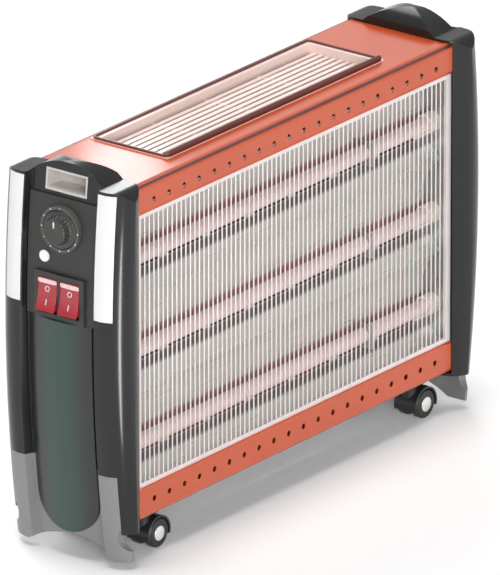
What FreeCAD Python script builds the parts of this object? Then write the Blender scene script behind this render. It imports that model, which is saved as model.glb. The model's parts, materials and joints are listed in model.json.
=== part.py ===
import FreeCAD, Part
import os
import re
import Sketcher

# Two-sided quartz fireplace heater on casters, in millimetres.
# X runs along the heater with the control end at -X, Y from front to rear, Z up from the floor.
# Pieces of the front and of the control end are drawn once; the rear and the far end turn them
# half a turn about the upright line through the origin.

doc = FreeCAD.newDocument("fireplace_heater")

# Driving sizes
SIZES = {
    # sheet-metal case between the two end caps
    "case_length": 524,
    "case_depth": 130,
    "case_height": 355,
    "case_bottom": 42,
    "case_insert": 6,
    "sheet": 1.2,
    "bend": 7,
    "top_apron": 30,
    "bottom_apron": 34,
    "vent_hole": 6,
    "vent_margin": 29.25,
    "vent_count": 20,
    "top_vent_drop": 20,
    "bottom_vent_rise": 19,
    "intake_bridge": 16,
    "intake_width": 7,
    "intake_margin": 72,
    "intake_count": 5,
    "intake_spread": 44,
    # sunk outlet grille in the top
    "outlet_end_margin": 89.5,
    "outlet_side_margin": 23,
    "outlet_setback": 8,
    "outlet_sink": 11,
    "outlet_wall": 1.2,
    "outlet_rim": 1,
    "outlet_rim_lap": 6,
    "slat_width": 5,
    "slat_height": 3,
    "slat_count": 9,
    "rib_width": 3,
    "rib_count": 3,
    # wire guards
    "guard_bar": 3,
    "guard_rail": 10,
    "guard_stile": 8,
    "guard_lap": 4,
    "guard_wire": 1.5,
    "guard_margin": 16,
    "guard_count": 67,
    # reflectors
    "reflector_sheet": 1.2,
    "reflector_ridge_inset": 14,
    "trough_depth": 24,
    "trough_lap": 1.5,
    "slot_bridge": 12,
    "slot_height": 6,
    "slot_margin": 15.2,
    "slot_count": 7,
    "slot_drop": 14,
    # quartz tubes and their ceramic ends
    "tube_radius": 8,
    "tube_wall": 1.2,
    "tube_inset": 24,
    "tube_drop": 10,
    "coil_radius": 5,
    "ceramic_radius": 10.5,
    "ceramic_length": 16,
    "ceramic_neck_radius": 6,
    "ceramic_neck": 9,
    "ceramic_socket": 8,
    "clip_sheet": 1.5,
    "clip_margin": 119,
    "clip_height": 26,
    "clip_front": 12,
    # end plates of the case
    "bulkhead": 1.5,
    "wire_hole": 12,
    # end caps: round columns, a sunk channel between them and a domed grip on top
    "cap_reach": 50,
    "cap_overhang": 12,
    "column_radius": 25,
    "column_flat": 10,
    "channel_sink": 9,
    "channel_slope": 4,
    "bow_radius": 1500,
    "bow_lift": 23.5,
    "cap_lip": 3,
    "shoulder_radius": 15,
    "dome_half": 45,
    "dome_rise": 17,
    "dome_back_rise": 6,
    "dome_front_rise": 5,
    "cap_floor": 3,
    "cap_step": 2,
    "cap_wall": 13,
    "lower_wall": 23,
    "grip_width": 52,
    "grip_height": 23,
    "grip_drop": 21,
    "grip_wall": 2,
    "grip_depth": 42,
    # bright strips let into the upper part of the columns
    "strip_height": 130,
    "strip_edge": 11,
    "strip_depth": 5,
    "strip_lip": 3,
    # boots under the caps
    "boot_bottom": 9,
    "boot_rise": 60,
    "boot_depth": 13,
    "boot_inset": 11,
    "toe_inset": 5,
    "toe_height": 11,
    "boot_waist": 24,
    "boot_waist_sink": 4,
    "boot_arch_half": 50,
    "boot_arch": 13,
    # tongues and panels in the channel
    "tongue_gap": 4,
    "tongue_bottom": 28,
    "tongue_round": 36,
    "tongue_edge": 1.5,
    "tongue_crown": 8,
    "panel_sheet": 3,
    "panel_gap": 3.5,
    # thermostat
    "knob_margin": 7,
    "knob_radius": 20,
    "knob_length": 13,
    "knob_stand": 0.8,
    "knob_skirt": 4,
    "knob_grip": 15,
    "knob_taper": 1.5,
    "knob_gap": 0.6,
    "knob_mark": 2,
    "ring_width": 4,
    "ring_rise": 3,
    "shaft_radius": 3,
    "knob_roof": 2,
    "bush_radius": 6,
    "thermostat_width": 28,
    "thermostat_depth": 12,
    # pair of rocker switches
    "switch_gap": 9,
    "switch_width": 62,
    "switch_tall": 48,
    "switch_wall": 2.4,
    "switch_rim": 3,
    "switch_rise": 2.6,
    "switch_divider": 4,
    "switch_deep": 25,
    "rocker_half": 17,
    "rocker_end": 9,
    "rocker_dip": 6.5,
    "rocker_root": 5,
    "rocker_waist": 9,
    "rocker_tilt": 9,
    "pin_radius": 2,
    "pin_length": 1.4,
    # pilot lamp
    "lamp_drop": 32,
    "lamp_place": 20,
    "lamp_radius": 4.5,
    "lamp_rim": 6,
    "lamp_stand": 1.7,
    "lamp_rim_sheet": 1.2,
    "lamp_rise": 2.6,
    "lamp_length": 21,
    "lamp_holder_radius": 6.5,
    "lamp_holder_length": 12,
    # parts in the control compartment
    "terminal_width": 54,
    "terminal_tall": 22,
    "terminal_depth": 12,
    "terminal_rise": 108,
    "terminal_hole": 2,
    "terminal_hole_depth": 8,
    "terminal_pitch": 10,
    "terminal_count": 5,
    "tilt_width": 24,
    "tilt_tall": 30,
    "tilt_depth": 12,
    "tilt_gap": 3,
    # lead inlet in the floor of the case
    "gland_place": 150,
    "gland_bore": 3.7,
    "gland_radius": 8,
    "gland_flange": 12,
    "gland_flange_sheet": 2,
    "gland_rise": 14,
    # casters
    "caster_inset": 40,
    "caster_margin": 23,
    "socket_radius": 8,
    "socket_flange": 13,
    "socket_sheet": 2.5,
    "socket_rise": 18,
    "stem_radius": 4,
    "trail": 9,
    "wheel_radius": 15,
    "wheel_width": 9,
    "wheel_round": 2,
    "web": 8,
    "web_gap": 0.5,
    "hood_gap": 1.5,
    "hood_wall": 2,
    "hood_drop": 5,
    "boss_radius": 8,
    "axle_radius": 2.5,
    # fits, cuts and shares
    "fit": 0.3,
    "running": 0.06,
    "seat": 0.1,
    "overrun": 5,
    "bow_sweep": 24,
    "round_share": 0.29289,
}

# Sizes that follow from the driving sizes
TIED_SIZES = {
    # rows that fill the length or the depth they run over
    "vent_pitch": "(case_length - 2 * vent_margin) / (vent_count - 1)",
    "intake_pitch": "(case_length - 2 * intake_margin) / intake_count",
    "intake_length": "intake_pitch - intake_bridge",
    "outlet_length": "case_length - 2 * outlet_end_margin",
    "outlet_depth": "case_depth - 2 * outlet_side_margin",
    "slat_pitch": "outlet_depth / (slat_count + 1)",
    "rib_pitch": "outlet_length / (rib_count + 1)",
    "inside_length": "case_length - 2 * bulkhead - 2 * fit",
    "guard_pitch": "(inside_length - 2 * guard_margin) / (guard_count - 1)",
    "slot_pitch": "(inside_length - 2 * slot_margin) / slot_count",
    "slot_length": "slot_pitch - slot_bridge",
    "trough_pitch": "(case_height - top_apron - bottom_apron + 2 * trough_lap) / 3",
    "clip_place": "case_length / 2 - clip_margin",
    "caster_place": "case_length / 2 - caster_inset",
    "caster_spread": "case_depth / 2 - caster_margin",
    # end caps outward from the end of the case
    "end_reach": "case_length / 2 - case_insert + cap_reach",
    "channel_floor": "end_reach - channel_sink",
    "cavity_reach": "channel_floor - cap_wall",
    "lower_reach": "channel_floor - lower_wall",
    "grip_back": "end_reach - grip_depth",
    "knob_base": "channel_floor + knob_stand",
    "knob_tip": "knob_base + knob_length",
    "shaft_end": "knob_tip - knob_roof",
    "switch_back": "channel_floor - switch_deep",
    "rocker_pivot": "channel_floor",
    "lamp_seat": "channel_floor + lamp_stand",
    "lamp_tail": "channel_floor - lamp_length",
    # end caps across the heater
    "cap_depth": "case_depth + 2 * cap_overhang",
    "channel_half": "cap_depth / 2 - column_radius - column_flat",
    "tongue_half": "channel_half - tongue_gap",
    "boot_half": "cap_depth / 2 - boot_inset",
    "toe_half": "cap_depth / 2 - toe_inset",
    "strip_inner": "channel_half + channel_slope",
    "strip_outer": "cap_depth / 2 - strip_edge",
    "ring_radius": "knob_radius + ring_width",
    # end caps from the top down and from the floor up
    "bow_height": "case_bottom + case_height / 2 + bow_lift",
    "cap_shoulder": "case_bottom + case_height + cap_lip",
    "dome_top": "cap_shoulder + dome_rise",
    "strip_top": "cap_shoulder - strip_lip",
    "strip_low": "strip_top - strip_height",
    "grip_centre": "dome_top - grip_drop",
    "panel_top": "grip_centre - grip_height / 2 - panel_gap",
    "knob_height": "panel_top - ring_radius - knob_margin",
    "lamp_height": "knob_height - lamp_drop",
    "switch_height": "lamp_height - lamp_rim - switch_gap - switch_tall / 2",
    "tongue_top": "switch_height - switch_tall / 2",
    "boot_top": "case_bottom + boot_rise",
    "toe_top": "boot_bottom + toe_height",
    "terminal_height": "case_bottom + terminal_rise",
    "tilt_height": "terminal_height - terminal_tall / 2 - tilt_gap - tilt_tall / 2",
}

sheet = doc.addObject("Spreadsheet::Sheet", "Sizes")
cells = {**SIZES, **{size_name: f"={text}" for size_name, text in TIED_SIZES.items()}}
for line, (size_name, content) in enumerate(cells.items(), start=1):
    sheet.set(f"A{line}", size_name)
    sheet.set(f"B{line}", str(content))
    sheet.setAlias(f"B{line}", size_name)
doc.recompute()

pieces = []


def formula(text):
    """Writes a sum of size names as a sum of the sheet's cells."""
    return re.sub(r"[a-z_]{3,}", lambda word: f"Sizes.{word.group()}", text)


def number(text):
    """Works a sum of size names out to a plain number."""
    return float(sheet.evalExpression(formula(text)))


def bind(thing, **formulas):
    """Ties properties to sums of size names."""
    for name, text in formulas.items():
        thing.setExpression(name, formula(text))


def place(thing, across="0", along="0", up="0"):
    """Ties the place of a thing to sums of size names."""
    for letter, text in zip("xyz", (across, along, up)):
        thing.setExpression(f"Placement.Base.{letter}", formula(text))


def piece(thing, label, turned=False):
    """Names a finished sub-part and turns it half round where it belongs to the rear or far end."""
    thing.Label = label
    if turned:
        thing.Placement = FreeCAD.Placement(FreeCAD.Vector(), FreeCAD.Rotation(FreeCAD.Vector(0, 0, 1),
                                                                               180))
    pieces.append(thing)
    return thing


# Sketches and solids

def arc_between(start, middle, end):
    """Gives the arc through three points, and whether it runs from end to start."""
    circle = Part.Circle(start, middle, end)
    turn = (middle - start).cross(end - middle).z
    upright = Part.Circle(circle.Center, FreeCAD.Vector(0, 0, 1), circle.Radius)
    first, last = (start, end) if turn > 0 else (end, start)
    return Part.ArcOfCircle(upright, upright.parameter(first), upright.parameter(last)), turn < 0


def pin_point(sketch, line, vertex, corner):
    """Ties a point of a sketch to its two sums of size names."""
    for kind, text in zip(("DistanceX", "DistanceY"), corner):
        index = sketch.addConstraint(Sketcher.Constraint(kind, -1, 1, line, vertex, number(text)))
        sketch.setExpression(f"Constraints[{index}]", formula(text))


def outline(sketch, corners):
    """Draws a closed outline. A corner is (across, up); where an arc leaves it, the point
    that the arc passes through follows in the same corner."""
    points = [FreeCAD.Vector(number(corner[0]), number(corner[1]), 0) for corner in corners]
    ends = []
    for index, corner in enumerate(corners):
        start = points[index]
        end = points[(index + 1) % len(points)]
        if len(corner) == 2:
            line = sketch.addGeometry(Part.LineSegment(start, end), False)
            ends.append((line, 1, 2))
        else:
            middle = FreeCAD.Vector(number(corner[2]), number(corner[3]), 0)
            arc, reversed_arc = arc_between(start, middle, end)
            line = sketch.addGeometry(arc, False)
            ends.append((line, 2, 1) if reversed_arc else (line, 1, 2))
    for index, corner in enumerate(corners):
        line, first, last = ends[index]
        following, next_first, next_last = ends[(index + 1) % len(ends)]
        sketch.addConstraint(Sketcher.Constraint("Coincident", line, last, following, next_first))
        pin_point(sketch, line, first, corner[:2])
        if len(corner) == 4:
            middle = FreeCAD.Vector(number(corner[2]), number(corner[3]), 0)
            through = sketch.addGeometry(Part.Point(middle), True)
            pin_point(sketch, through, 1, corner[2:])
            sketch.addConstraint(Sketcher.Constraint("PointOnObject", through, 1, line))


def rectangle(sketch, left, right, low, high):
    outline(sketch, [(left, low), (right, low), (right, high), (left, high)])


def circle(sketch, across, up, radius):
    centre = FreeCAD.Vector(number(across), number(up), 0)
    ring = sketch.addGeometry(Part.Circle(centre, FreeCAD.Vector(0, 0, 1), number(radius)), False)
    pin_point(sketch, ring, 3, (across, up))
    index = sketch.addConstraint(Sketcher.Constraint("Radius", ring, number(radius)))
    sketch.setExpression(f"Constraints[{index}]", formula(radius))


def new_body(name):
    return doc.addObject("PartDesign::Body", name)


def body_sketch(body, role, name, offset="0"):
    """Adds a sketch on one of the body's own planes, moved along the plane's normal."""
    sketch = body.newObject("Sketcher::SketchObject", name)
    plane = [feature for feature in body.Origin.OriginFeatures if feature.Role == role][0]
    sketch.AttachmentSupport = [(plane, "")]
    sketch.MapMode = "FlatFace"
    sketch.setExpression("AttachmentOffset.Base.z", formula(offset))
    return sketch


def pad(body, sketch, name, length, both_ways=False):
    feature = body.newObject("PartDesign::Pad", name)
    feature.Profile = sketch
    feature.SideType = "Symmetric" if both_ways else "One side"
    bind(feature, Length=length)
    return feature


def pocket(body, sketch, name, length):
    """Cuts the sketch through the solid, as far on both sides of its plane."""
    feature = body.newObject("PartDesign::Pocket", name)
    feature.Profile = sketch
    feature.SideType = "Symmetric"
    bind(feature, Length=length)
    return feature


def row(body, original, name, axis, pitch, count, reverse=False):
    """Repeats a feature along one of the body's own axes."""
    pattern = body.newObject("PartDesign::LinearPattern", name)
    line = [feature for feature in body.Origin.OriginFeatures if feature.Role == axis][0]
    pattern.Originals = [original]
    pattern.Direction = (line, [""])
    pattern.Reversed = reverse
    bind(pattern, Length=f"({count} - 1) * {pitch}", Occurrences=count)
    body.Tip = pattern
    return pattern


def free_sketch(name, plane, across="0", along="0", up="0"):
    """Adds a sketch on the ground plane (XY), an end plane (YZ) or a front plane (XZ)."""
    sketch = doc.addObject("Sketcher::SketchObject", name)
    turns = {"XY": (0, 0, 0, 1), "YZ": (0.5, 0.5, 0.5, 0.5), "XZ": (0.5 ** 0.5, 0, 0, 0.5 ** 0.5)}
    sketch.Placement = FreeCAD.Placement(FreeCAD.Vector(), FreeCAD.Rotation(*turns[plane]))
    place(sketch, across, along, up)
    return sketch


def extrude(name, sketch, forward, backward="0"):
    """Carries a sketch along its normal, forward and backward."""
    solid = doc.addObject("Part::Extrusion", name)
    solid.Base = sketch
    solid.DirMode = "Normal"
    solid.Solid = True
    bind(solid, LengthFwd=forward, LengthRev=backward)
    return solid


def box(name, left, right, front, rear, low, high):
    solid = doc.addObject("Part::Box", name)
    bind(solid, Length=f"({right}) - ({left})", Width=f"({rear}) - ({front})", Height=f"({high}) - ({low})")
    place(solid, left, front, low)
    return solid


def rod(name, axis, radius, length, across="0", along="0", up="0"):
    """Makes a round bar that starts at the given place and runs along +X, +Y or +Z."""
    solid = doc.addObject("Part::Cylinder", name)
    turns = {
        "X": (FreeCAD.Vector(0, 1, 0), 90),
        "Y": (FreeCAD.Vector(1, 0, 0), -90),
        "Z": (FreeCAD.Vector(0, 0, 1), 0),
    }
    solid.Placement = FreeCAD.Placement(FreeCAD.Vector(), FreeCAD.Rotation(*turns[axis]))
    bind(solid, Radius=radius, Height=length)
    place(solid, across, along, up)
    return solid


def common(name, first, second):
    solid = doc.addObject("Part::Common", name)
    solid.Base = first
    solid.Tool = second
    return solid


def fuse(name, *solids):
    solid = doc.addObject("Part::MultiFuse", name)
    solid.Shapes = list(solids)
    solid.Refine = True
    return solid


def cut(name, base, *tools):
    """Takes one or more tools out of a base."""
    solid = doc.addObject("Part::Cut", name)
    solid.Base = base
    solid.Tool = tools[0] if len(tools) == 1 else fuse(f"{name}_tools", *tools)
    return solid


def group(name, solids):
    """Gathers like pieces, each still a solid of its own."""
    gathered = doc.addObject("Part::Compound", name)
    gathered.Links = solids
    return gathered


# Sheet-metal case

CASE_TOP = "case_bottom + case_height"
HALF = "case_depth / 2"


def channel_corners(edge, flat, sign):
    """Section of a folded channel: its flat web at height flat and its two aprons down to edge.
    Sign is 1 where the web is on top and -1 where it is below."""
    outer = f"{HALF}"
    inner = f"({HALF} - sheet)"
    web = f"({flat})"
    inside = f"({flat} - {sign} * sheet)"
    outer_mid = "bend * round_share"
    inner_mid = "(bend - sheet) * round_share"
    return [
        (f"-{outer}", edge),
        (f"-{outer}", f"{web} - {sign} * bend", f"-{outer} + {outer_mid}", f"{web} - {sign} * {outer_mid}"),
        (f"-{outer} + bend", web),
        (f"{outer} - bend", web, f"{outer} - {outer_mid}", f"{web} - {sign} * {outer_mid}"),
        (outer, f"{web} - {sign} * bend"),
        (outer, edge),
        (inner, edge),
        (inner, f"{web} - {sign} * bend", f"{inner} - {inner_mid}", f"{inside} - {sign} * {inner_mid}"),
        (f"{outer} - bend", inside),
        (f"-{outer} + bend", inside, f"-{inner} + {inner_mid}", f"{inside} - {sign} * {inner_mid}"),
        (f"-{inner}", f"{web} - {sign} * bend"),
        (f"-{inner}", edge),
    ]


def make_top_cover():
    """Folded top sheet with the outlet opening and a row of vent holes in both aprons."""
    body = new_body("top_cover")
    section = body_sketch(body, "YZ_Plane", "top_section")
    outline(section, channel_corners(f"{CASE_TOP} - top_apron", CASE_TOP, 1))
    pad(body, section, "top_fold", "case_length", both_ways=True)
    opening = body_sketch(body, "XY_Plane", "outlet_opening", CASE_TOP)
    rectangle(opening, "-outlet_length / 2", "outlet_length / 2",
              "outlet_setback - outlet_depth / 2", "outlet_setback + outlet_depth / 2")
    pocket(body, opening, "outlet_cut", "2 * (sheet + overrun)")
    hole = body_sketch(body, "XZ_Plane", "top_vent")
    circle(hole, "-(vent_count - 1) * vent_pitch / 2", f"{CASE_TOP} - top_vent_drop", "vent_hole / 2")
    vent = pocket(body, hole, "top_vent_cut", "case_depth + 2 * overrun")
    row(body, vent, "top_vent_row", "X_Axis", "vent_pitch", "vent_count")
    piece(body, "top_cover")


def make_bottom_tray():
    """Folded floor of the case: vent rows, intake slots, and holes for the casters and the lead inlet."""
    body = new_body("bottom_tray")
    section = body_sketch(body, "YZ_Plane", "tray_section")
    outline(section, channel_corners("case_bottom + bottom_apron", "case_bottom", -1))
    pad(body, section, "tray_fold", "case_length", both_ways=True)
    openings = body_sketch(body, "XY_Plane", "tray_holes", "case_bottom")
    for side in ("-", ""):
        for end in ("-", ""):
            circle(openings, f"{end}caster_place", f"{side}caster_spread", "socket_radius + fit")
    circle(openings, "-gland_place", "0", "gland_radius + fit")
    pocket(body, openings, "tray_hole_cut", "2 * (sheet + overrun)")
    slots = body_sketch(body, "XY_Plane", "intake_slots", "case_bottom")
    first = "-(intake_count - 1) * intake_pitch / 2"
    for side in ("-", ""):
        rectangle(slots, f"{first} - intake_length / 2", f"{first} + intake_length / 2",
                  f"{side}intake_spread / 2 - intake_width / 2",
                  f"{side}intake_spread / 2 + intake_width / 2")
    intake = pocket(body, slots, "intake_cut", "2 * (sheet + overrun)")
    row(body, intake, "intake_row", "X_Axis", "intake_pitch", "intake_count")
    hole = body_sketch(body, "XZ_Plane", "bottom_vent")
    circle(hole, "-(vent_count - 1) * vent_pitch / 2", "case_bottom + bottom_vent_rise", "vent_hole / 2")
    vent = pocket(body, hole, "bottom_vent_cut", "case_depth + 2 * overrun")
    row(body, vent, "bottom_vent_row", "X_Axis", "vent_pitch", "vent_count")
    piece(body, "bottom_tray")


def make_outlet_grille():
    """Sunk grille in the top: a rim on the sheet, a wall down from it, and lengthwise slats on cross ribs."""
    body = new_body("top_outlet_grille")
    long = "outlet_length / 2"
    deep = "outlet_depth / 2"
    rim = body_sketch(body, "XY_Plane", "outlet_rim_ring", CASE_TOP)
    wall = body_sketch(body, "XY_Plane", "outlet_wall_ring", f"{CASE_TOP} - outlet_sink")
    for sketch, grow in ((rim, "outlet_rim_lap"), (wall, "-fit")):
        for reach in (grow, "-fit - outlet_wall"):
            rectangle(sketch, f"-{long} - ({reach})", f"{long} + ({reach})",
                      f"outlet_setback - {deep} - ({reach})", f"outlet_setback + {deep} + ({reach})")
    pad(body, wall, "outlet_wall_pad", "outlet_sink + outlet_rim")
    pad(body, rim, "outlet_rim_pad", "outlet_rim")
    rib = body_sketch(body, "XY_Plane", "outlet_rib", f"{CASE_TOP} - outlet_sink")
    first = "-(rib_count - 1) * rib_pitch / 2"
    rectangle(rib, f"{first} - rib_width / 2", f"{first} + rib_width / 2",
              f"outlet_setback - {deep} + fit", f"outlet_setback + {deep} - fit")
    rib_pad = pad(body, rib, "outlet_rib_pad", "slat_height / 2")
    row(body, rib_pad, "outlet_rib_row", "X_Axis", "rib_pitch", "rib_count")
    slat = body_sketch(body, "XY_Plane", "outlet_slat", f"{CASE_TOP} - outlet_sink")
    front = "outlet_setback - (slat_count - 1) * slat_pitch / 2"
    rectangle(slat, f"-{long} + fit", f"{long} - fit", f"{front} - slat_width / 2",
              f"{front} + slat_width / 2")
    slat_pad = pad(body, slat, "outlet_slat_pad", "slat_height")
    row(body, slat_pad, "outlet_slat_row", "Y_Axis", "slat_pitch", "slat_count")
    piece(body, "top_outlet_grille")


def make_guard(label, turned):
    """Welded guard: a flat bar frame behind the aprons, filled with upright round wires."""
    body = new_body(label)
    low = "case_bottom + bottom_apron - guard_lap"
    high = f"{CASE_TOP} - top_apron + guard_lap"
    frame = body_sketch(body, "XZ_Plane", f"{label}_frame", f"{HALF} - sheet - fit - guard_bar")
    rectangle(frame, "-inside_length / 2", "inside_length / 2", low, high)
    rectangle(frame, "-inside_length / 2 + guard_stile", "inside_length / 2 - guard_stile",
              f"{low} + guard_rail", f"{high} - guard_rail")
    pad(body, frame, f"{label}_frame_pad", "guard_bar")
    wire = body_sketch(body, "XY_Plane", f"{label}_wire", f"{low} + guard_rail / 2")
    circle(wire, "-(guard_count - 1) * guard_pitch / 2", f"-{HALF} + sheet + fit + guard_bar / 2",
           "guard_wire / 2")
    wire_pad = pad(body, wire, f"{label}_wire_pad", f"({high}) - ({low}) - guard_rail")
    row(body, wire_pad, f"{label}_wires", "X_Axis", "guard_pitch", "guard_count")
    piece(body, label, turned)


make_top_cover()
make_bottom_tray()
make_outlet_grille()
make_guard("front_guard", turned=False)
make_guard("rear_guard", turned=True)


# Reflectors, quartz tubes and what carries them

MIDDLE = "(case_bottom + (case_height + bottom_apron - top_apron) / 2)"
RIDGE = f"(-{HALF} + reflector_ridge_inset)"
TUBE_FRONT = f"(-{HALF} + tube_inset)"
TROUGH_RADIUS = "((trough_pitch * trough_pitch / 4 + trough_depth * trough_depth) / (2 * trough_depth))"
SOCKET_FLOOR = "(case_length / 2 - bulkhead - seat - ceramic_length + ceramic_socket)"
LEVELS = {"top": "1", "middle": "0", "bottom": "-1"}


def tube_height(level):
    return f"({MIDDLE} - tube_drop + ({level}) * trough_pitch)"


def make_reflector(label, turned):
    """Polished sheet of three round troughs, with a row of slots under each tube."""
    body = new_body(label)
    section = body_sketch(body, "YZ_Plane", f"{label}_section")
    ridges = [f"({MIDDLE} + ({share}) * trough_pitch)" for share in ("-1.5", "-0.5", "0.5", "1.5")]
    centres = [f"({MIDDLE} + ({share}) * trough_pitch)" for share in ("-1", "0", "1")]
    back = f"{RIDGE} + reflector_sheet"
    corners = [(RIDGE, ridge, f"{RIDGE} + trough_depth", centre) for ridge, centre in zip(ridges, centres)]
    corners.append((RIDGE, ridges[-1]))
    corners += [(back, ridge, f"{back} + trough_depth", centre) for ridge, centre in zip(ridges[:0:-1],
                                                                                         centres[::-1])]
    corners.append((back, ridges[0]))
    outline(section, corners)
    pad(body, section, f"{label}_fold", "inside_length", both_ways=True)
    slots = body_sketch(body, "XZ_Plane", f"{label}_slots")
    first = "-(slot_count - 1) * slot_pitch / 2"
    for level in LEVELS.values():
        centre = f"{tube_height(level)} - slot_drop"
        rectangle(slots, f"{first} - slot_length / 2", f"{first} + slot_length / 2",
                  f"{centre} - slot_height / 2", f"{centre} + slot_height / 2")
    slot = pocket(body, slots, f"{label}_slot_cut", "case_depth")
    row(body, slot, f"{label}_slot_row", "X_Axis", "slot_pitch", "slot_count")
    piece(body, label, turned)


def make_bank(side, turned):
    """One bank: three hollow quartz tubes, the heating coils in them and the clips that steady them."""
    coils = []
    clips = []
    for name, level in LEVELS.items():
        height = tube_height(level)
        label = f"{side}_tube_{name}"
        glass = rod(f"{label}_glass", "X", "tube_radius", f"2 * ({SOCKET_FLOOR} - fit)",
                    f"-{SOCKET_FLOOR} + fit", TUBE_FRONT, height)
        hollow = rod(f"{label}_hollow", "X", "tube_radius - tube_wall", f"2 * ({SOCKET_FLOOR} + overrun)",
                     f"-{SOCKET_FLOOR} - overrun", TUBE_FRONT, height)
        piece(cut(label, glass, hollow), label, turned)
        coils.append(rod(f"{side}_coil_{name}", "X", "coil_radius", f"2 * ({SOCKET_FLOOR} - seat)",
                         f"-{SOCKET_FLOOR} + seat", TUBE_FRONT, height))
        blank = box(f"{side}_clip_{name}_blank", "clip_place - clip_sheet / 2",
                    "clip_place + clip_sheet / 2",
                    f"{TUBE_FRONT} - clip_front", "0", f"{height} - clip_height / 2",
                    f"{height} + clip_height / 2")
        trough = rod(f"{side}_clip_{name}_trough", "X", f"{TROUGH_RADIUS} - seat", "case_length", "0",
                     f"{RIDGE} + trough_depth - {TROUGH_RADIUS}", f"{MIDDLE} + ({level}) * trough_pitch")
        hole = rod(f"{side}_clip_{name}_hole", "X", "tube_radius + fit", "case_length", "0", TUBE_FRONT,
                   height)
        seated = common(f"{side}_clip_{name}_seated", blank, trough)
        clips.append(cut(f"{side}_clip_{name}", seated, hole))
    piece(group(f"{side}_coils", coils), f"{side}_coils", turned)
    piece(group(f"{side}_tube_clips", clips), f"{side}_tube_clips", turned)


def make_ceramics(label, turned):
    """Six ceramic ends: a cup for the tube inside the case and a neck through the end plate."""
    shoulder = "(case_length / 2 - bulkhead - seat)"
    ceramics = []
    for side, along in (("front", TUBE_FRONT), ("rear", f"-{TUBE_FRONT}")):
        for name, level in LEVELS.items():
            stem = f"{label}_{side}_{name}"
            height = tube_height(level)
            cup = rod(f"{stem}_cup", "X", "ceramic_radius", "ceramic_length", f"-{shoulder}", along, height)
            neck = rod(f"{stem}_neck", "X", "ceramic_neck_radius", "ceramic_neck + ceramic_length / 4",
                       f"-{shoulder} - ceramic_neck", along, height)
            socket = rod(f"{stem}_socket", "X", "tube_radius + fit", "ceramic_socket + overrun",
                         f"-{SOCKET_FLOOR}", along, height)
            ceramics.append(cut(stem, fuse(f"{stem}_blank", cup, neck), socket))
    piece(group(label, ceramics), label, turned)


def rounded_corners(half, low, high, radius):
    """Corners of a plate with four rounded corners."""
    mid = f"{radius} * round_share"
    return [
        (f"-({half}) + {radius}", low),
        (f"{half} - {radius}", low, f"{half} - {mid}", f"{low} + {mid}"),
        (half, f"{low} + {radius}"),
        (half, f"{high} - {radius}", f"{half} - {mid}", f"{high} - {mid}"),
        (f"{half} - {radius}", high),
        (f"-({half}) + {radius}", high, f"-({half}) + {mid}", f"{high} - {mid}"),
        (f"-({half})", f"{high} - {radius}"),
        (f"-({half})", f"{low} + {radius}", f"-({half}) + {mid}", f"{low} + {mid}"),
    ]


def make_bulkhead(label, turned):
    """End plate of the case with holes for the ceramic necks and the wires."""
    body = new_body(label)
    plate = body_sketch(body, "YZ_Plane", f"{label}_plate", "-case_length / 2")
    outline(plate, rounded_corners(f"{HALF} - sheet - fit", "case_bottom + sheet + fit",
                                   f"{CASE_TOP} - sheet - fit", "bend"))
    for along in (TUBE_FRONT, f"-{TUBE_FRONT}"):
        for level in LEVELS.values():
            circle(plate, along, tube_height(level), "ceramic_neck_radius + fit")
    circle(plate, "0", MIDDLE, "wire_hole / 2")
    pad(body, plate, f"{label}_pad", "bulkhead")
    piece(body, label, turned)


for bank, is_rear in (("front", False), ("rear", True)):
    make_reflector(f"{bank}_reflector", is_rear)
    make_bank(bank, is_rear)
for end, is_far in (("near", False), ("far", True)):
    make_ceramics(f"{end}_ceramics", is_far)
    make_bulkhead(f"{end}_bulkhead", is_far)


# End caps, boots, tongues and panels

CAP_FACE = "(case_length / 2 - case_insert)"
CAP_HALF = "(cap_depth / 2)"
BOW_AXIS = "(bow_radius - end_reach)"


def bowed(name, corners):
    """Carries a plan section up and down along the bow of the end, about a level axis far behind it."""
    sketch = free_sketch(f"{name}_section", "XY", up="bow_height")
    outline(sketch, corners)
    solid = doc.addObject("Part::Revolution", name)
    solid.Source = sketch
    solid.Axis = FreeCAD.Vector(0, 1, 0)
    solid.Symmetric = True
    solid.Solid = True
    solid.setExpression("Base.x", formula(BOW_AXIS))
    solid.setExpression("Base.z", formula("bow_height"))
    bind(solid, Angle="bow_sweep")
    return solid


def end_view(name, corners):
    """Carries an outline seen from the end from outside the cap to its inner face."""
    sketch = free_sketch(f"{name}_outline", "YZ", across="-(end_reach + overrun)")
    outline(sketch, corners)
    return extrude(name, sketch, f"end_reach + overrun - {CAP_FACE}")


def outer_layer(name, depth):
    """Bowed slab that holds the outer part of the end form, as deep as given."""
    return bowed(name, [
        ("-end_reach - overrun", f"-{CAP_HALF} - overrun"),
        (f"-end_reach + {depth}", f"-{CAP_HALF} - overrun"),
        (f"-end_reach + {depth}", f"{CAP_HALF} + overrun"),
        ("-end_reach - overrun", f"{CAP_HALF} + overrun"),
    ])


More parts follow.
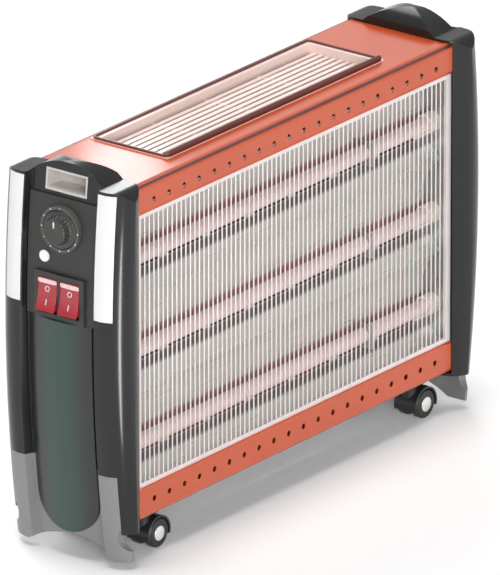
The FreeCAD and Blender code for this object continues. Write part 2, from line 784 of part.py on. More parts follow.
def make_cap_form():
    """Bowed solid with two round columns and the sunk channel between them, inner corners rounded."""
    mid = "column_radius * round_share"
    half = CAP_HALF
    front = bowed("column_form", [
        (f"-{CAP_FACE} / 2", f"-{half}"),
        ("-end_reach + column_radius", f"-{half}", f"-end_reach + {mid}", f"-{half} + {mid}"),
        ("-end_reach", f"-{half} + column_radius"),
        ("-end_reach", "-channel_half - channel_slope"),
        (f"-channel_floor", "-channel_half"),
        (f"-channel_floor", "channel_half"),
        ("-end_reach", "channel_half + channel_slope"),
        ("-end_reach", f"{half} - column_radius", f"-end_reach + {mid}", f"{half} - {mid}"),
        ("-end_reach + column_radius", half),
        (f"-{CAP_FACE} / 2", half),
    ])
    sketch = free_sketch("cap_plan_outline", "XY")
    outline(sketch, [
        ("-(end_reach + overrun)", f"-{half}"),
        (f"-{CAP_FACE} - column_radius", f"-{half}", f"-{CAP_FACE} - {mid}", f"-{half} + {mid}"),
        (f"-{CAP_FACE}", f"-{half} + column_radius"),
        (f"-{CAP_FACE}", f"{half} - column_radius", f"-{CAP_FACE} - {mid}", f"{half} - {mid}"),
        (f"-{CAP_FACE} - column_radius", half),
        ("-(end_reach + overrun)", half),
    ])
    return common("cap_form", front, extrude("cap_plan", sketch, "dome_top + overrun"))


cap_form = make_cap_form()


def control_holes(name, radius_growth):
    """Openings for the thermostat's bush, the switch and the pilot lamp."""
    long = "end_reach"
    bush = rod(f"{name}_bush_hole", "X", f"bush_radius + {radius_growth}", long, f"-{long}", "0",
               "knob_height")
    lamp = rod(f"{name}_lamp_hole", "X", f"lamp_radius + {radius_growth}", long, f"-{long}", "lamp_place",
               "lamp_height")
    wide = f"(switch_width / 2 - switch_rim + {radius_growth})"
    tall = f"(switch_tall / 2 - switch_rim + {radius_growth})"
    switch = box(f"{name}_switch_hole", f"-{long} - overrun", "0", f"-{wide}", wide,
                 f"switch_height - {tall}", f"switch_height + {tall}")
    return [bush, lamp, switch]


def column_strips(name, growth):
    """Outer layer of both columns from the edge of the channel to the start of their round, near the top."""
    layer = outer_layer(f"{name}_layer", f"strip_depth + {growth}")
    views = [end_view(f"{name}_{side}_view", [
        (f"{sign}(strip_inner - ({growth}))", f"strip_low - {growth}"),
        (f"{sign}(strip_outer + {growth})", f"strip_low - {growth}"),
        (f"{sign}(strip_outer + {growth})", f"strip_top + {growth}"),
        (f"{sign}(strip_inner - ({growth}))", f"strip_top + {growth}"),
    ]) for side, sign in (("front", "-"), ("rear", ""))]
    return common(name, layer, fuse(f"{name}_views", *views))


def make_strips(label, turned):
    """Pair of bright strips, flush with the columns that they are let into."""
    piece(common(label, cap_form, column_strips(f"{label}_layer", "0")), label, turned)


def dome_side(label):
    """Everything under the dome as seen from the front: it falls off toward the case and the outer face."""
    sketch = free_sketch(f"{label}_dome_outline", "XZ", along=CAP_HALF)
    crest = f"-({CAP_FACE} + end_reach) / 2"
    outline(sketch, [
        ("-end_reach", "0"),
        (f"-{CAP_FACE}", "0"),
        (f"-{CAP_FACE}", "cap_shoulder + dome_back_rise", crest, "dome_top"),
        ("-end_reach", "cap_shoulder + dome_front_rise"),
    ])
    return extrude(f"{label}_dome_side", sketch, "cap_depth")


def make_cap(label, turned):
    """Moulded cap: domed top with a grip recess, a compartment that the end of the case enters,
    and a seat for the boot in the lower part of its outer face."""
    corner = "shoulder_radius * round_share"
    foot = "case_bottom - fit - cap_floor"
    view = end_view(f"{label}_view", [
        (f"-{CAP_HALF}", foot),
        (CAP_HALF, foot),
        (CAP_HALF, "cap_shoulder - shoulder_radius", f"{CAP_HALF} - {corner}", f"cap_shoulder - {corner}"),
        (f"{CAP_HALF} - shoulder_radius", "cap_shoulder"),
        ("dome_half", "cap_shoulder", "0", "dome_top"),
        ("-dome_half", "cap_shoulder"),
        (f"-{CAP_HALF} + shoulder_radius", "cap_shoulder", f"-{CAP_HALF} + {corner}",
         f"cap_shoulder - {corner}"),
        (f"-{CAP_HALF}", "cap_shoulder - shoulder_radius"),
    ])
    cavity = box(f"{label}_cavity", "-cavity_reach", f"-{CAP_FACE} + overrun", f"-{HALF} - fit",
                 f"{HALF} + fit",
                 "boot_top + cap_step", f"{CASE_TOP} + fit")
    lower_cavity = box(f"{label}_lower_cavity", "-lower_reach", f"-{CAP_FACE} + overrun",
                       f"-{HALF} - fit", f"{HALF} + fit", "case_bottom - fit",
                       "boot_top + cap_step + overrun")
    boot_seat = common(f"{label}_boot_seat", outer_layer(f"{label}_boot_layer", "boot_depth + seat"),
                       end_view(f"{label}_boot_seat_view", [
                           ("-boot_half - seat", "-overrun"),
                           ("boot_half + seat", "-overrun"),
                           ("boot_half + seat", "boot_top"),
                           ("-boot_half - seat", "boot_top"),
                       ]))
    grip = box(f"{label}_grip_hole", "-(end_reach + overrun)", "-grip_back", "-grip_width / 2",
               "grip_width / 2",
               "grip_centre - grip_height / 2", "grip_centre + grip_height / 2")
    holes = [] if turned else control_holes(label, "fit")
    strip_seat = column_strips(f"{label}_strip_seat", "seat")
    solid = common(f"{label}_solid", common(f"{label}_domed", cap_form, dome_side(label)), view)
    piece(cut(label, solid, cavity, lower_cavity, boot_seat, strip_seat, grip, *holes), label, turned)


def make_grip(label, turned):
    """Liner of the grip recess, trimmed flush with the bowed face."""
    wide = "(grip_width / 2 - fit)"
    tall = "(grip_height / 2 - fit)"
    back = "(grip_back + fit)"
    outside = box(f"{label}_outside", "-(end_reach + overrun)", f"-{back}", f"-{wide}", wide,
                  f"grip_centre - {tall}", f"grip_centre + {tall}")
    inside = box(f"{label}_inside", "-(end_reach + 2 * overrun)", f"-{back} - grip_wall",
                 f"-{wide} + grip_wall", f"{wide} - grip_wall",
                 f"grip_centre - {tall} + grip_wall", f"grip_centre + {tall} - grip_wall")
    piece(cut(label, common(f"{label}_flush", outside, cap_form), inside), label, turned)


def make_boot(label, turned):
    """Boot: a thick plate let into the foot of the cap, drawn in below the cap, with toes and an arch."""
    waist_half = "boot_half - boot_waist_sink"
    waist_height = "toe_top + boot_waist / 2"
    view = end_view(f"{label}_view", [
        ("boot_half", "boot_top - seat"),
        ("-boot_half", "boot_top - seat"),
        ("-boot_half", "toe_top + boot_waist", f"-({waist_half})", waist_height),
        ("-toe_half", "toe_top"),
        ("-toe_half", "boot_bottom"),
        ("-boot_arch_half", "boot_bottom", "0", "boot_bottom + boot_arch"),
        ("boot_arch_half", "boot_bottom"),
        ("toe_half", "boot_bottom"),
        ("toe_half", "toe_top", waist_half, waist_height),
        ("boot_half", "toe_top + boot_waist"),
    ])
    layer = common(f"{label}_layer", cap_form, outer_layer(f"{label}_outer_layer", "boot_depth"))
    piece(common(label, layer, view), label, turned)


def make_tongue(label, turned):
    """Crowned cover strip in the channel, over the joint of cap and boot, with a round lower end."""
    base = f"-channel_floor - seat"
    form = bowed(f"{label}_form", [
        (base, "-tongue_half"),
        (f"{base} - tongue_edge", "-tongue_half", f"{base} - tongue_crown", "0"),
        (f"{base} - tongue_edge", "tongue_half"),
        (base, "tongue_half"),
    ])
    view = end_view(f"{label}_view", [
        ("-tongue_half", "tongue_top"),
        ("-tongue_half", "tongue_bottom + tongue_round", "0", "tongue_bottom"),
        ("tongue_half", "tongue_bottom + tongue_round"),
        ("tongue_half", "tongue_top"),
    ])
    piece(common(label, form, view), label, turned)


def make_panel(label, turned):
    """Bowed plate in the channel between the tongue and the grip."""
    base = f"-channel_floor - seat"
    wide = "(channel_half - fit)"
    form = bowed(f"{label}_form", [
        (base, f"-{wide}"),
        (f"{base} - panel_sheet", f"-{wide}"),
        (f"{base} - panel_sheet", wide),
        (base, wide),
    ])
    view = end_view(f"{label}_view", [
        (f"-{wide}", "tongue_top + fit"),
        (wide, "tongue_top + fit"),
        (wide, "panel_top"),
        (f"-{wide}", "panel_top"),
    ])
    plate = common(f"{label}_plate", form, view)
    piece(plate if turned else cut(label, plate, *control_holes(label, "fit")), label, turned)


for end, is_far in (("near", False), ("far", True)):
    make_cap(f"{end}_cap", is_far)
    make_grip(f"{end}_grip", is_far)
    make_strips(f"{end}_strips", is_far)
    make_boot(f"{end}_boot", is_far)
    make_tongue(f"{end}_tongue", is_far)
make_panel("control_panel", turned=False)
make_panel("far_panel", turned=True)


# Controls

def make_thermostat():
    """Thermostat behind the panel, its shaft, the knob on the shaft and the ring round the knob."""
    back = "(cavity_reach - seat)"
    half = "thermostat_width / 2"
    case = box("thermostat_case", f"-{back}", f"-{back} + thermostat_depth", f"-{half}", half,
               f"knob_height - {half}", f"knob_height + {half}")
    bush = rod("thermostat_bush", "X", "bush_radius", f"knob_base - knob_gap - {back}",
               "-knob_base + knob_gap",
               "0", "knob_height")
    bore = rod("thermostat_bore", "X", "shaft_radius + running", "end_reach", "-end_reach", "0",
               "knob_height")
    piece(cut("thermostat_body", fuse("thermostat_blank", case, bush), bore), "thermostat_body")
    piece(rod("thermostat_shaft", "X", "shaft_radius", f"shaft_end - {back} + thermostat_depth",
              "-shaft_end",
              "0", "knob_height"), "thermostat_shaft")
    skirt = rod("knob_disc", "X", "knob_radius", "knob_skirt", "-knob_base - knob_skirt", "0",
                "knob_height")
    grip = doc.addObject("Part::Cone", "knob_cone")
    grip.Placement = FreeCAD.Placement(FreeCAD.Vector(), FreeCAD.Rotation(FreeCAD.Vector(0, 1, 0), 90))
    bind(grip, Radius1="knob_grip - knob_taper", Radius2="knob_grip",
         Height="knob_tip - knob_base - knob_skirt / 2")
    place(grip, "-knob_tip", "0", "knob_height")
    socket = rod("knob_socket", "X", "shaft_radius + running", "shaft_end - knob_base + overrun + seat",
                 "-shaft_end - seat", "0", "knob_height")
    mark = box("knob_mark_cut", "-knob_tip - overrun", "-knob_tip + knob_mark / 2", "-knob_mark / 2",
               "knob_mark / 2",
               "knob_height + knob_grip / 3", "knob_height + knob_grip + overrun")
    piece(cut("thermostat_knob", fuse("knob_blank", skirt, grip), socket, mark), "thermostat_knob")
    ring = rod("ring_blank", "X", "ring_radius", "knob_base + ring_rise - cavity_reach",
               "-knob_base - ring_rise",
               "0", "knob_height")
    well = rod("ring_well", "X", "knob_radius + knob_gap", "end_reach", "-end_reach", "0", "knob_height")
    face = rod("ring_seat", "Y", "bow_radius - channel_sink + panel_sheet + 2 * seat", "cap_depth",
               BOW_AXIS,
               f"-{CAP_HALF}", "bow_height")
    piece(cut("dial_ring", ring, well, face), "dial_ring")


SWITCH_SEAT = f"(channel_floor + seat + panel_sheet + fit)"
WELL_OUT = "(switch_width / 2 - switch_rim - switch_wall)"
ROCKER_WIDE = f"({WELL_OUT} - switch_divider / 2 - 2 * fit)"
ROCKER_CENTRE = f"(({WELL_OUT} + switch_divider / 2) / 2)"


def make_switch():
    """Housing of the switch with two wells, and the bore that the rockers' pins turn in."""
    rim = box("switch_rim_blank", f"-{SWITCH_SEAT} - switch_rise", f"-{SWITCH_SEAT}", "-switch_width / 2",
              "switch_width / 2", "switch_height - switch_tall / 2", "switch_height + switch_tall / 2")
    wide = "(switch_width / 2 - switch_rim)"
    tall = "(switch_tall / 2 - switch_rim)"
    case = box("switch_case", f"-{SWITCH_SEAT} - switch_rise / 2", "-switch_back", f"-{wide}", wide,
               f"switch_height - {tall}", f"switch_height + {tall}")
    deep = f"{tall} - switch_wall"
    wells = [box(f"switch_well_{side}", "-end_reach - overrun", "-switch_back - switch_wall", low, high,
                 f"switch_height - ({deep})", f"switch_height + {deep}")
             for side, low, high in (("front", f"-{WELL_OUT}", "-switch_divider / 2"),
                                     ("rear", "switch_divider / 2", WELL_OUT))]
    bore = rod("switch_pin_bore", "Y", "pin_radius + running", "switch_width", "-rocker_pivot",
               "-switch_width / 2",
               "switch_height")
    piece(cut("switch_housing", fuse("switch_blank", rim, case), *wells, bore), "switch_housing")


def make_rocker(label, sign):
    """Rocker with a dipped face and a pin on both sides, tilted to its off position."""
    sketch = free_sketch(f"{label}_outline", "XZ", along=f"{ROCKER_WIDE} / 2")
    outline(sketch, [
        ("-rocker_end", "rocker_half", "-rocker_dip", "0"),
        ("-rocker_end", "-rocker_half"),
        ("rocker_root", "-rocker_waist"),
        ("rocker_root", "rocker_waist"),
    ])
    paddle = extrude(f"{label}_paddle", sketch, ROCKER_WIDE)
    pin = rod(f"{label}_pin", "Y", "pin_radius", f"{ROCKER_WIDE} + 2 * (fit + pin_length)", "0",
              f"-{ROCKER_WIDE} / 2 - fit - pin_length", "0")
    rocker = piece(fuse(label, paddle, pin), label)
    rocker.Placement = FreeCAD.Placement(
        FreeCAD.Vector(), FreeCAD.Rotation(FreeCAD.Vector(0, 1, 0), number("rocker_tilt")))
    place(rocker, "-rocker_pivot", f"{sign}{ROCKER_CENTRE}", "switch_height")


def make_pilot_lamp():
    """Pilot lamp: a clear lens through the panel and the holder that grips its tail."""
    tail = rod("lens_tail", "X", "lamp_radius", "lamp_seat + lamp_rise - lamp_tail",
               "-lamp_seat - lamp_rise",
               "lamp_place", "lamp_height")
    rim = rod("lens_rim", "X", "lamp_rim", "lamp_rim_sheet", "-lamp_seat - lamp_rim_sheet", "lamp_place",
              "lamp_height")
    piece(fuse("pilot_lens", tail, rim), "pilot_lens")
    outside = rod("lamp_holder_outside", "X", "lamp_holder_radius", "lamp_holder_length",
                  "-cavity_reach + seat",
                  "lamp_place", "lamp_height")
    bore = rod("lamp_holder_bore", "X", "lamp_radius + seat", "end_reach", "-end_reach", "lamp_place",
               "lamp_height")
    piece(cut("lamp_holder", outside, bore), "lamp_holder")


def make_wiring():
    """Terminal block and tilt switch on the outside of the near end plate."""
    face = "(case_length / 2 + seat)"
    block = box("terminal_blank", f"-{face} - terminal_depth", f"-{face}", "-terminal_width / 2",
                "terminal_width / 2",
                "terminal_height - terminal_tall / 2", "terminal_height + terminal_tall / 2")
    holes = []
    for index in range(round(number("terminal_count"))):
        along = f"({index} - (terminal_count - 1) / 2) * terminal_pitch"
        holes.append(rod(f"terminal_hole_{index}", "X", "terminal_hole", "terminal_hole_depth + overrun",
                         f"-{face} - terminal_depth - overrun", along, "terminal_height"))
    piece(cut("terminal_block", block, *holes), "terminal_block")
    piece(box("tilt_switch", f"-{face} - tilt_depth", f"-{face}", "-tilt_width / 2", "tilt_width / 2",
              "tilt_height - tilt_tall / 2", "tilt_height + tilt_tall / 2"), "tilt_switch")


def flanged_bush(name, radius, rise, flange, flange_sheet, bore, across, along):
    """Bush up through the floor of the case, with its flange against the underside."""
    barrel = rod(f"{name}_barrel", "Z", radius, f"{rise} + {flange_sheet} + seat", across, along,
                 f"case_bottom - seat - {flange_sheet}")
    collar = rod(f"{name}_collar", "Z", flange, flange_sheet, across, along,
                 f"case_bottom - seat - {flange_sheet}")
    hole = rod(f"{name}_hole", "Z", bore, "case_height", across, along, "0")
    return cut(name, fuse(f"{name}_blank", barrel, collar), hole)


make_thermostat()
make_switch()
make_rocker("front_rocker", "-")
make_rocker("rear_rocker", "")
make_pilot_lamp()
make_wiring()
piece(flanged_bush("cord_gland", "gland_radius", "gland_rise", "gland_flange", "gland_flange_sheet",
                   "gland_bore",
                   "-gland_place", "0"), "cord_gland")


# Casters

HOOD_WIDE = "(web + 2 * (web_gap + wheel_width))"
STEM_FOOT = "(case_bottom - seat - socket_sheet - fit)"


def make_caster(label, across, along):
    """Twin-wheel caster: hood with its stem, a pair of wheels and the axle that they turn with."""
    axle_height = "wheel_radius"
    hood_radius = "(wheel_radius + hood_gap + hood_wall)"
    drum = rod(f"{label}_drum", "Y", hood_radius, HOOD_WIDE, "trail", f"-{HOOD_WIDE} / 2", axle_height)
    boss = rod(f"{label}_boss", "Z", "boss_radius", f"{STEM_FOOT} - {axle_height}", "0", "0", axle_height)
    wells = [rod(f"{label}_well_{side}", "Y", "wheel_radius + hood_gap", f"{HOOD_WIDE} / 2", "trail", start,
                 axle_height)
             for side, start in (("front", f"-{HOOD_WIDE} / 2 - web / 2"), ("rear", "web / 2"))]
    under = box(f"{label}_under", f"trail - {hood_radius} - overrun", f"trail + {hood_radius} + overrun",
                f"-{HOOD_WIDE}", HOOD_WIDE, "-overrun", f"{axle_height} - hood_drop")
    bore = rod(f"{label}_bore", "Y", "axle_radius + running", f"2 * {HOOD_WIDE}", "trail", f"-{HOOD_WIDE}",
               axle_height)
    stem = rod(f"{label}_stem", "Z", "stem_radius", f"case_bottom + socket_rise - {STEM_FOOT} + hood_wall",
               "0", "0",
               f"{STEM_FOOT} - hood_wall")
    shell = cut(f"{label}_shell", fuse(f"{label}_blank", drum, boss), *wells, under, bore)
    hood = piece(fuse(f"{label}_hood", shell, stem), f"{label}_hood")
    wheels = []
    for side, sign in (("front", "-"), ("rear", "")):
        inner = f"{sign}(web / 2 + web_gap)"
        outer = f"{sign}(web / 2 + web_gap + wheel_width)"
        mid = "wheel_round * round_share"
        sketch = free_sketch(f"{label}_wheel_{side}_section", "XY", up=axle_height)
        outline(sketch, [
            ("trail + axle_radius + running", inner),
            ("trail + wheel_radius - wheel_round", inner, f"trail + wheel_radius - {mid}",
             f"{inner} + ({sign}{mid})"),
            ("trail + wheel_radius", f"{inner} + ({sign}wheel_round)"),
            ("trail + wheel_radius", f"{outer} - ({sign}wheel_round)",
             f"trail + wheel_radius - {mid}", f"{outer} - ({sign}{mid})"),
            ("trail + wheel_radius - wheel_round", outer),
            ("trail + axle_radius + running", outer),
        ])
        wheel = doc.addObject("Part::Revolution", f"{label}_wheel_{side}")
        wheel.Source = sketch
        wheel.Axis = FreeCAD.Vector(0, 1, 0)
        wheel.Angle = 360
        wheel.Solid = True
        wheel.setExpression("Base.x", formula("trail"))
        wheel.setExpression("Base.z", formula(axle_height))
        wheels.append(wheel)
    pair = piece(group(f"{label}_wheels", wheels), f"{label}_wheels")
    axle = piece(rod(f"{label}_axle", "Y", "axle_radius", HOOD_WIDE), f"{label}_axle")
    place(hood, across, along)
    place(pair, across, along)
    place(axle, f"{across} + trail", f"{along} - {HOOD_WIDE} / 2", axle_height)


sockets = []
for end, across in (("near", "-caster_place"), ("far", "caster_place")):
    for side, along in (("front", "-caster_spread"), ("rear", "caster_spread")):
        make_caster(f"caster_{end}_{side}", across, along)
        sockets.append(flanged_bush(f"socket_{end}_{side}", "socket_radius", "socket_rise", "socket_flange",
                                    "socket_sheet", "stem_radius + running", across, along))
piece(group("caster_sockets", sockets), "caster_sockets")

# Check and write

doc.recompute()
for thing in doc.Objects:
    if "Invalid" in thing.State or "Error" in thing.State:
        raise RuntimeError(f"{thing.Label} did not recompute: {thing.State}")
for thing in pieces:
    if thing.Shape.isNull() or not thing.Shape.isValid():
        raise RuntimeError(f"{thing.Label} has no valid shape")
    print(thing.Label, len(thing.Shape.Solids), round(thing.Shape.Volume))

os.makedirs("parts", exist_ok=True)
for thing in pieces:
    thing.Shape.exportStep(f"parts/{thing.Label}.step")
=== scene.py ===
# %% [markdown]
# # Dressing a quartz fireplace heater
# The heater's solids come in as a fixed frame, in metres, standing on the floor at Z = 0.
# X runs along the heater, with the controls at -X, and the front guard faces -Y.
# This lesson gives every solid a finish, adds the small pieces that make it look made,
# and sets a plain studio round it. Its own sizes are in millimetres, up to the studio, which is in metres.

# %% Load the frame
import json
import math

import bmesh
import bpy
import numpy as np
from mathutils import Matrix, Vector


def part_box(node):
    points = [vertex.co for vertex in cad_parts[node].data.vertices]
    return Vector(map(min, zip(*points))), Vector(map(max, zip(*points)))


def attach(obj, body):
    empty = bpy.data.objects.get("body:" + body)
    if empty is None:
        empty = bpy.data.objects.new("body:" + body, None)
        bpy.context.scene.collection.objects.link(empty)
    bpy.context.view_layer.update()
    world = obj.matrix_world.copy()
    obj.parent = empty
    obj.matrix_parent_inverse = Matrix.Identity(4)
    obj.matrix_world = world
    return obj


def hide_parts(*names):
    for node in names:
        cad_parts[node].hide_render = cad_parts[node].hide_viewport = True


MM = 0.001
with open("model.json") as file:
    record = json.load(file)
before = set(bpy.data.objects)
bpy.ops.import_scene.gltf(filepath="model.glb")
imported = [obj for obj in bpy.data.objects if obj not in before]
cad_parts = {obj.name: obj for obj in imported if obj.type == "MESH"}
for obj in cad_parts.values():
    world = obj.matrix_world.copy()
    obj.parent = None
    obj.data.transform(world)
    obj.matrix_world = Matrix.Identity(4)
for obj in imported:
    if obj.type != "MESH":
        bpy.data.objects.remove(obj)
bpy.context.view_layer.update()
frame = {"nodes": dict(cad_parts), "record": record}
nodes = frame["nodes"]

# %% [markdown]
# ## Camera
# The picture is almost a parallel view: edges along X, Y and Z keep their slopes across the frame.
# An orthographic camera could give that, but a very long lens far away keeps the last trace of perspective.
# The turn and the height of the view come from those slopes: X edges run to the right and up,
# Y edges to the left and up.

# %% Camera
VIEW_TURN = math.radians(37.2)
VIEW_RISE = math.radians(20.8)
LENS_MM = 1000.0
SENSOR_MM = 36.0
FRAME_TALL_PX = 575
PX_PER_M = 1000.0
AIM_HEIGHT = 198.5
AIM_ASIDE = 5.4
CLIP_END_M = 100

distance = LENS_MM / SENSOR_MM * FRAME_TALL_PX / PX_PER_M
right = Vector((math.sin(VIEW_TURN), -math.cos(VIEW_TURN), 0))
toward = Vector((math.cos(VIEW_TURN) * math.cos(VIEW_RISE),
                 math.sin(VIEW_TURN) * math.cos(VIEW_RISE), -math.sin(VIEW_RISE)))
aim = Vector((0, 0, AIM_HEIGHT * MM)) + right * (AIM_ASIDE * MM)
camera = bpy.data.objects.new("camera", bpy.data.cameras.new("camera"))
camera.data.lens = LENS_MM
camera.data.sensor_width = SENSOR_MM
camera.data.clip_end = CLIP_END_M
camera.location = aim - toward * distance
camera.rotation_euler = toward.to_track_quat("-Z", "Y").to_euler()
bpy.context.scene.collection.objects.link(camera)
bpy.context.scene.camera = camera
print("camera at", tuple(round(c, 3) for c in camera.location))

# %% [markdown]
# ## Helpers for finishes
# Colours are written as sRGB hex values, as a paint chart gives them, and one function turns them
# to the linear values that shaders use. One more function adds a node with its settings and links.
# Most finishes vary in the same few ways: colour that drifts in spots, polish that drifts in patches,
# a fine grain, and edges that catch the light. Each could be wired by hand, but one function that makes
# a whole finish keeps them alike, and a finish then reads as a line of real sizes.

# %% Helpers for finishes
NOISE_DETAIL = 3.0
EDGE_SAMPLES = 6


def linear(hex_colour):
    """sRGB hex to linear RGBA: (c + 0.055) / 1.055 to the power 2.4, or c / 12.92 where dark."""
    parts = np.array([int(hex_colour[i:i + 2], 16) for i in (1, 3, 5)]) / 255
    bent = np.where(parts > 0.04045, ((parts + 0.055) / 1.055) ** 2.4, parts / 12.92)
    return (*bent.tolist(), 1.0)


def add_node(tree, kind, inputs=None, **settings):
    """Adds one node. Settings are its own values; inputs are socket values or another node's output."""
    made = tree.nodes.new(kind)
    for name, value in settings.items():
        setattr(made, name, value)
    for key, value in (inputs or {}).items():
        if isinstance(value, bpy.types.NodeSocket):
            tree.links.new(value, made.inputs[key])
        else:
            made.inputs[key].default_value = value
    return made


def new_finish(name, colours=None, spot_mm=None, polish=None, patch_mm=None,
               grain_mm=None, grain_height_mm=0.05, grain_strength=0.3, edge_mm=None, **sockets):
    """Makes a whole finish. Its colour drifts between two hex colours in spots, its roughness between the two
    values of polish in patches, grain is a bump, and edge is the radius that sharp edges seem to have.
    A size is one number or one for each axis: noise on Object coordinates times 1 / size has features of
    about that size. Sockets are constants, set on the shader itself."""
    material = bpy.data.materials.new(name)
    material.use_nodes = True
    tree = material.node_tree
    shader = tree.nodes["Principled BSDF"]
    for key, value in sockets.items():
        shader.inputs[key.replace("_", " ")].default_value = value

    noise = {}
    for use, size_mm in (("spots", spot_mm), ("patches", patch_mm), ("grain", grain_mm)):
        if size_mm is not None:
            scale = (1 / (np.broadcast_to(size_mm, 3) * MM)).tolist()
            place = add_node(tree, "ShaderNodeTexCoord")
            mapped = add_node(tree, "ShaderNodeMapping", {"Vector": place.outputs["Object"], "Scale": scale})
            cloud = add_node(tree, "ShaderNodeTexNoise", {"Vector": mapped.outputs["Vector"], "Scale": 1.0,
                                                          "Detail": NOISE_DETAIL})
            noise[use] = cloud.outputs["Fac"]

    if "spots" in noise:
        mixed = add_node(tree, "ShaderNodeMix", {"Factor": noise["spots"], "A": linear(colours[0]),
                                                 "B": linear(colours[1])}, data_type="RGBA")
        tree.links.new(mixed.outputs["Result"], shader.inputs["Base Color"])
    if "patches" in noise:
        spread = add_node(tree, "ShaderNodeMapRange", {"Value": noise["patches"], "To Min": polish[0],
                                                       "To Max": polish[1]})
        tree.links.new(spread.outputs["Result"], shader.inputs["Roughness"])
    surface = shader
    if "grain" in noise:
        surface = add_node(tree, "ShaderNodeBump", {"Height": noise["grain"], "Strength": grain_strength,
                                                    "Distance": grain_height_mm * MM})
        tree.links.new(surface.outputs["Normal"], shader.inputs["Normal"])
    if edge_mm is not None:
        rounded = add_node(tree, "ShaderNodeBevel", {"Radius": edge_mm * MM}, samples=EDGE_SAMPLES)
        tree.links.new(rounded.outputs["Normal"], surface.inputs["Normal"])
    return material


finishes = {}
print("mid grey in linear light:", round(linear("#808080")[0], 3))

# %% [markdown]
# ## Orange enamel
# The case is sheet steel with a baked orange enamel: a smooth, slightly wavy gloss with faint orange peel.
# Its undersides are painted dark grey: painted shade under the case, which also keeps the orange out of the
# floor's shadow. A second material could give that, but a solid has just one, so the colour is chosen by
# the way a face looks: where its normal points down, it is dark grey.

# %% Orange enamel
DOWN_LIMIT = -0.7

# Baked enamel gives the eye one even colour under a soft gloss that the peel breaks up a little.
enamelled = new_finish("orange_enamel_baked", ("#CE5426", "#C44C22"), spot_mm=90,
                       polish=(0.26, 0.38), patch_mm=40, grain_mm=2.5, edge_mm=0.6,
                       IOR=1.5, Coat_Weight=0.25, Coat_Roughness=0.2)
tree = enamelled.node_tree
base_colour = tree.nodes["Principled BSDF"].inputs["Base Color"]
enamel = base_colour.links[0].from_socket
# Faces that look down get dark grey, a painted shade on the undersides.
sheet = add_node(tree, "ShaderNodeNewGeometry")
looks = add_node(tree, "ShaderNodeSeparateXYZ", {"Vector": sheet.outputs["True Normal"]})
down_shade_mask = add_node(tree, "ShaderNodeMath", {0: looks.outputs["Z"], 1: DOWN_LIMIT}, operation="LESS_THAN")
enamel_and_under_shade = add_node(tree, "ShaderNodeMix", {"Factor": down_shade_mask.outputs[0], "A": enamel, "B": linear("#4E4C4B")},
                  data_type="RGBA")
tree.links.new(enamel_and_under_shade.outputs["Result"], base_colour)
finishes["orange_enamel"] = enamelled
print("orange enamel and painted_under_shade:", len(tree.nodes), "nodes")

# %% [markdown]
# ## Polished reflectors
# The reflectors are rolled aluminium, polished along their length, so their gloss is drawn out along X.
# A maroon band just above each tube is a painted reflection of the tube, and a grey band below it
# is a painted shadow of the tube. Their backs are dull.
# The bands could be painted on, but they repeat with the tubes, so they are worked out from the height.

# %% Polished reflectors
TUBE_LOW = 113.5
TUBE_PITCH = 98
REFLECTION_RISE = 3
REFLECTION_HALF = 8.5
SHADOW_DROP = 21
SHADOW_HALF = 6.5
BAND_CORE = 0.3

# Polished sheet gives the eye long soft streaks. It is set less metallic than it is, so that its own pale
# grey shows between the wires. Its polishing lines are drawn coarser than they are, because otherwise they
# wouldn't show.
polished = new_finish("polished_rolled_aluminium", ("#D3D9D1", "#DDDAD6"), spot_mm=(90, 30, 30),
                      polish=(0.22, 0.38), patch_mm=(48, 1.2, 1.2),
                      grain_mm=(48, 0.8, 0.8), grain_height_mm=0.02, grain_strength=0.2, Metallic=0.4)
tree = polished.node_tree
base_colour = tree.nodes["Principled BSDF"].inputs["Base Color"]
place = add_node(tree, "ShaderNodeTexCoord")
point = add_node(tree, "ShaderNodeSeparateXYZ", {"Vector": place.outputs["Object"]})


def band_over(colour, offset, half, hex_colour):
    """Lays a soft band on a colour at the same place by every tube, where far is small:
    far = |(z - start) mod pitch - pitch / 2|. The start lies a pitch and a half below the band by the lowest
    tube, under the sheet, so z - start is never negative."""
    start = TUBE_LOW + offset - TUBE_PITCH * 1.5
    above = add_node(tree, "ShaderNodeMath", {0: point.outputs["Z"], 1: start * MM}, operation="SUBTRACT")
    within = add_node(tree, "ShaderNodeMath", {0: above.outputs[0], 1: TUBE_PITCH * MM}, operation="MODULO")
    off = add_node(tree, "ShaderNodeMath", {0: within.outputs[0], 1: TUBE_PITCH * MM / 2},
                   operation="SUBTRACT")
    far = add_node(tree, "ShaderNodeMath", {0: off.outputs[0]}, operation="ABSOLUTE")
    share = add_node(tree, "ShaderNodeMapRange", {"Value": far.outputs[0], "From Min": half * MM * BAND_CORE,
                                                  "From Max": half * MM, "To Min": 1.0, "To Max": 0.0},
                     interpolation_type="SMOOTHSTEP")
    banded = add_node(tree, "ShaderNodeMix", {"Factor": share.outputs["Result"], "A": colour,
                                              "B": linear(hex_colour)}, data_type="RGBA")
    return banded.outputs["Result"]


# The maroon band is a painted reflection of each tube, and the grey band under it a painted shadow of it.
painted_tube_reflection = band_over(base_colour.links[0].from_socket, REFLECTION_RISE, REFLECTION_HALF, "#B98C92")
painted_tube_shadow = band_over(painted_tube_reflection, -SHADOW_DROP, SHADOW_HALF, "#6A6463")
sheet = add_node(tree, "ShaderNodeNewGeometry")
looks = add_node(tree, "ShaderNodeSeparateXYZ", {"Vector": sheet.outputs["True Normal"]})
outward = add_node(tree, "ShaderNodeMath", {0: looks.outputs["Y"], 1: point.outputs["Y"]},
                   operation="MULTIPLY")
is_back = add_node(tree, "ShaderNodeMath", {0: outward.outputs[0], 1: 0.0}, operation="LESS_THAN")
two_sided = add_node(tree, "ShaderNodeMix", {"Factor": is_back.outputs[0], "A": painted_tube_shadow,
                                             "B": linear("#3F3B3A")}, data_type="RGBA")
tree.links.new(two_sided.outputs["Result"], base_colour)
finishes["polished_reflector"] = polished
print("reflector bands every", TUBE_PITCH, "mm:", len(tree.nodes), "nodes")
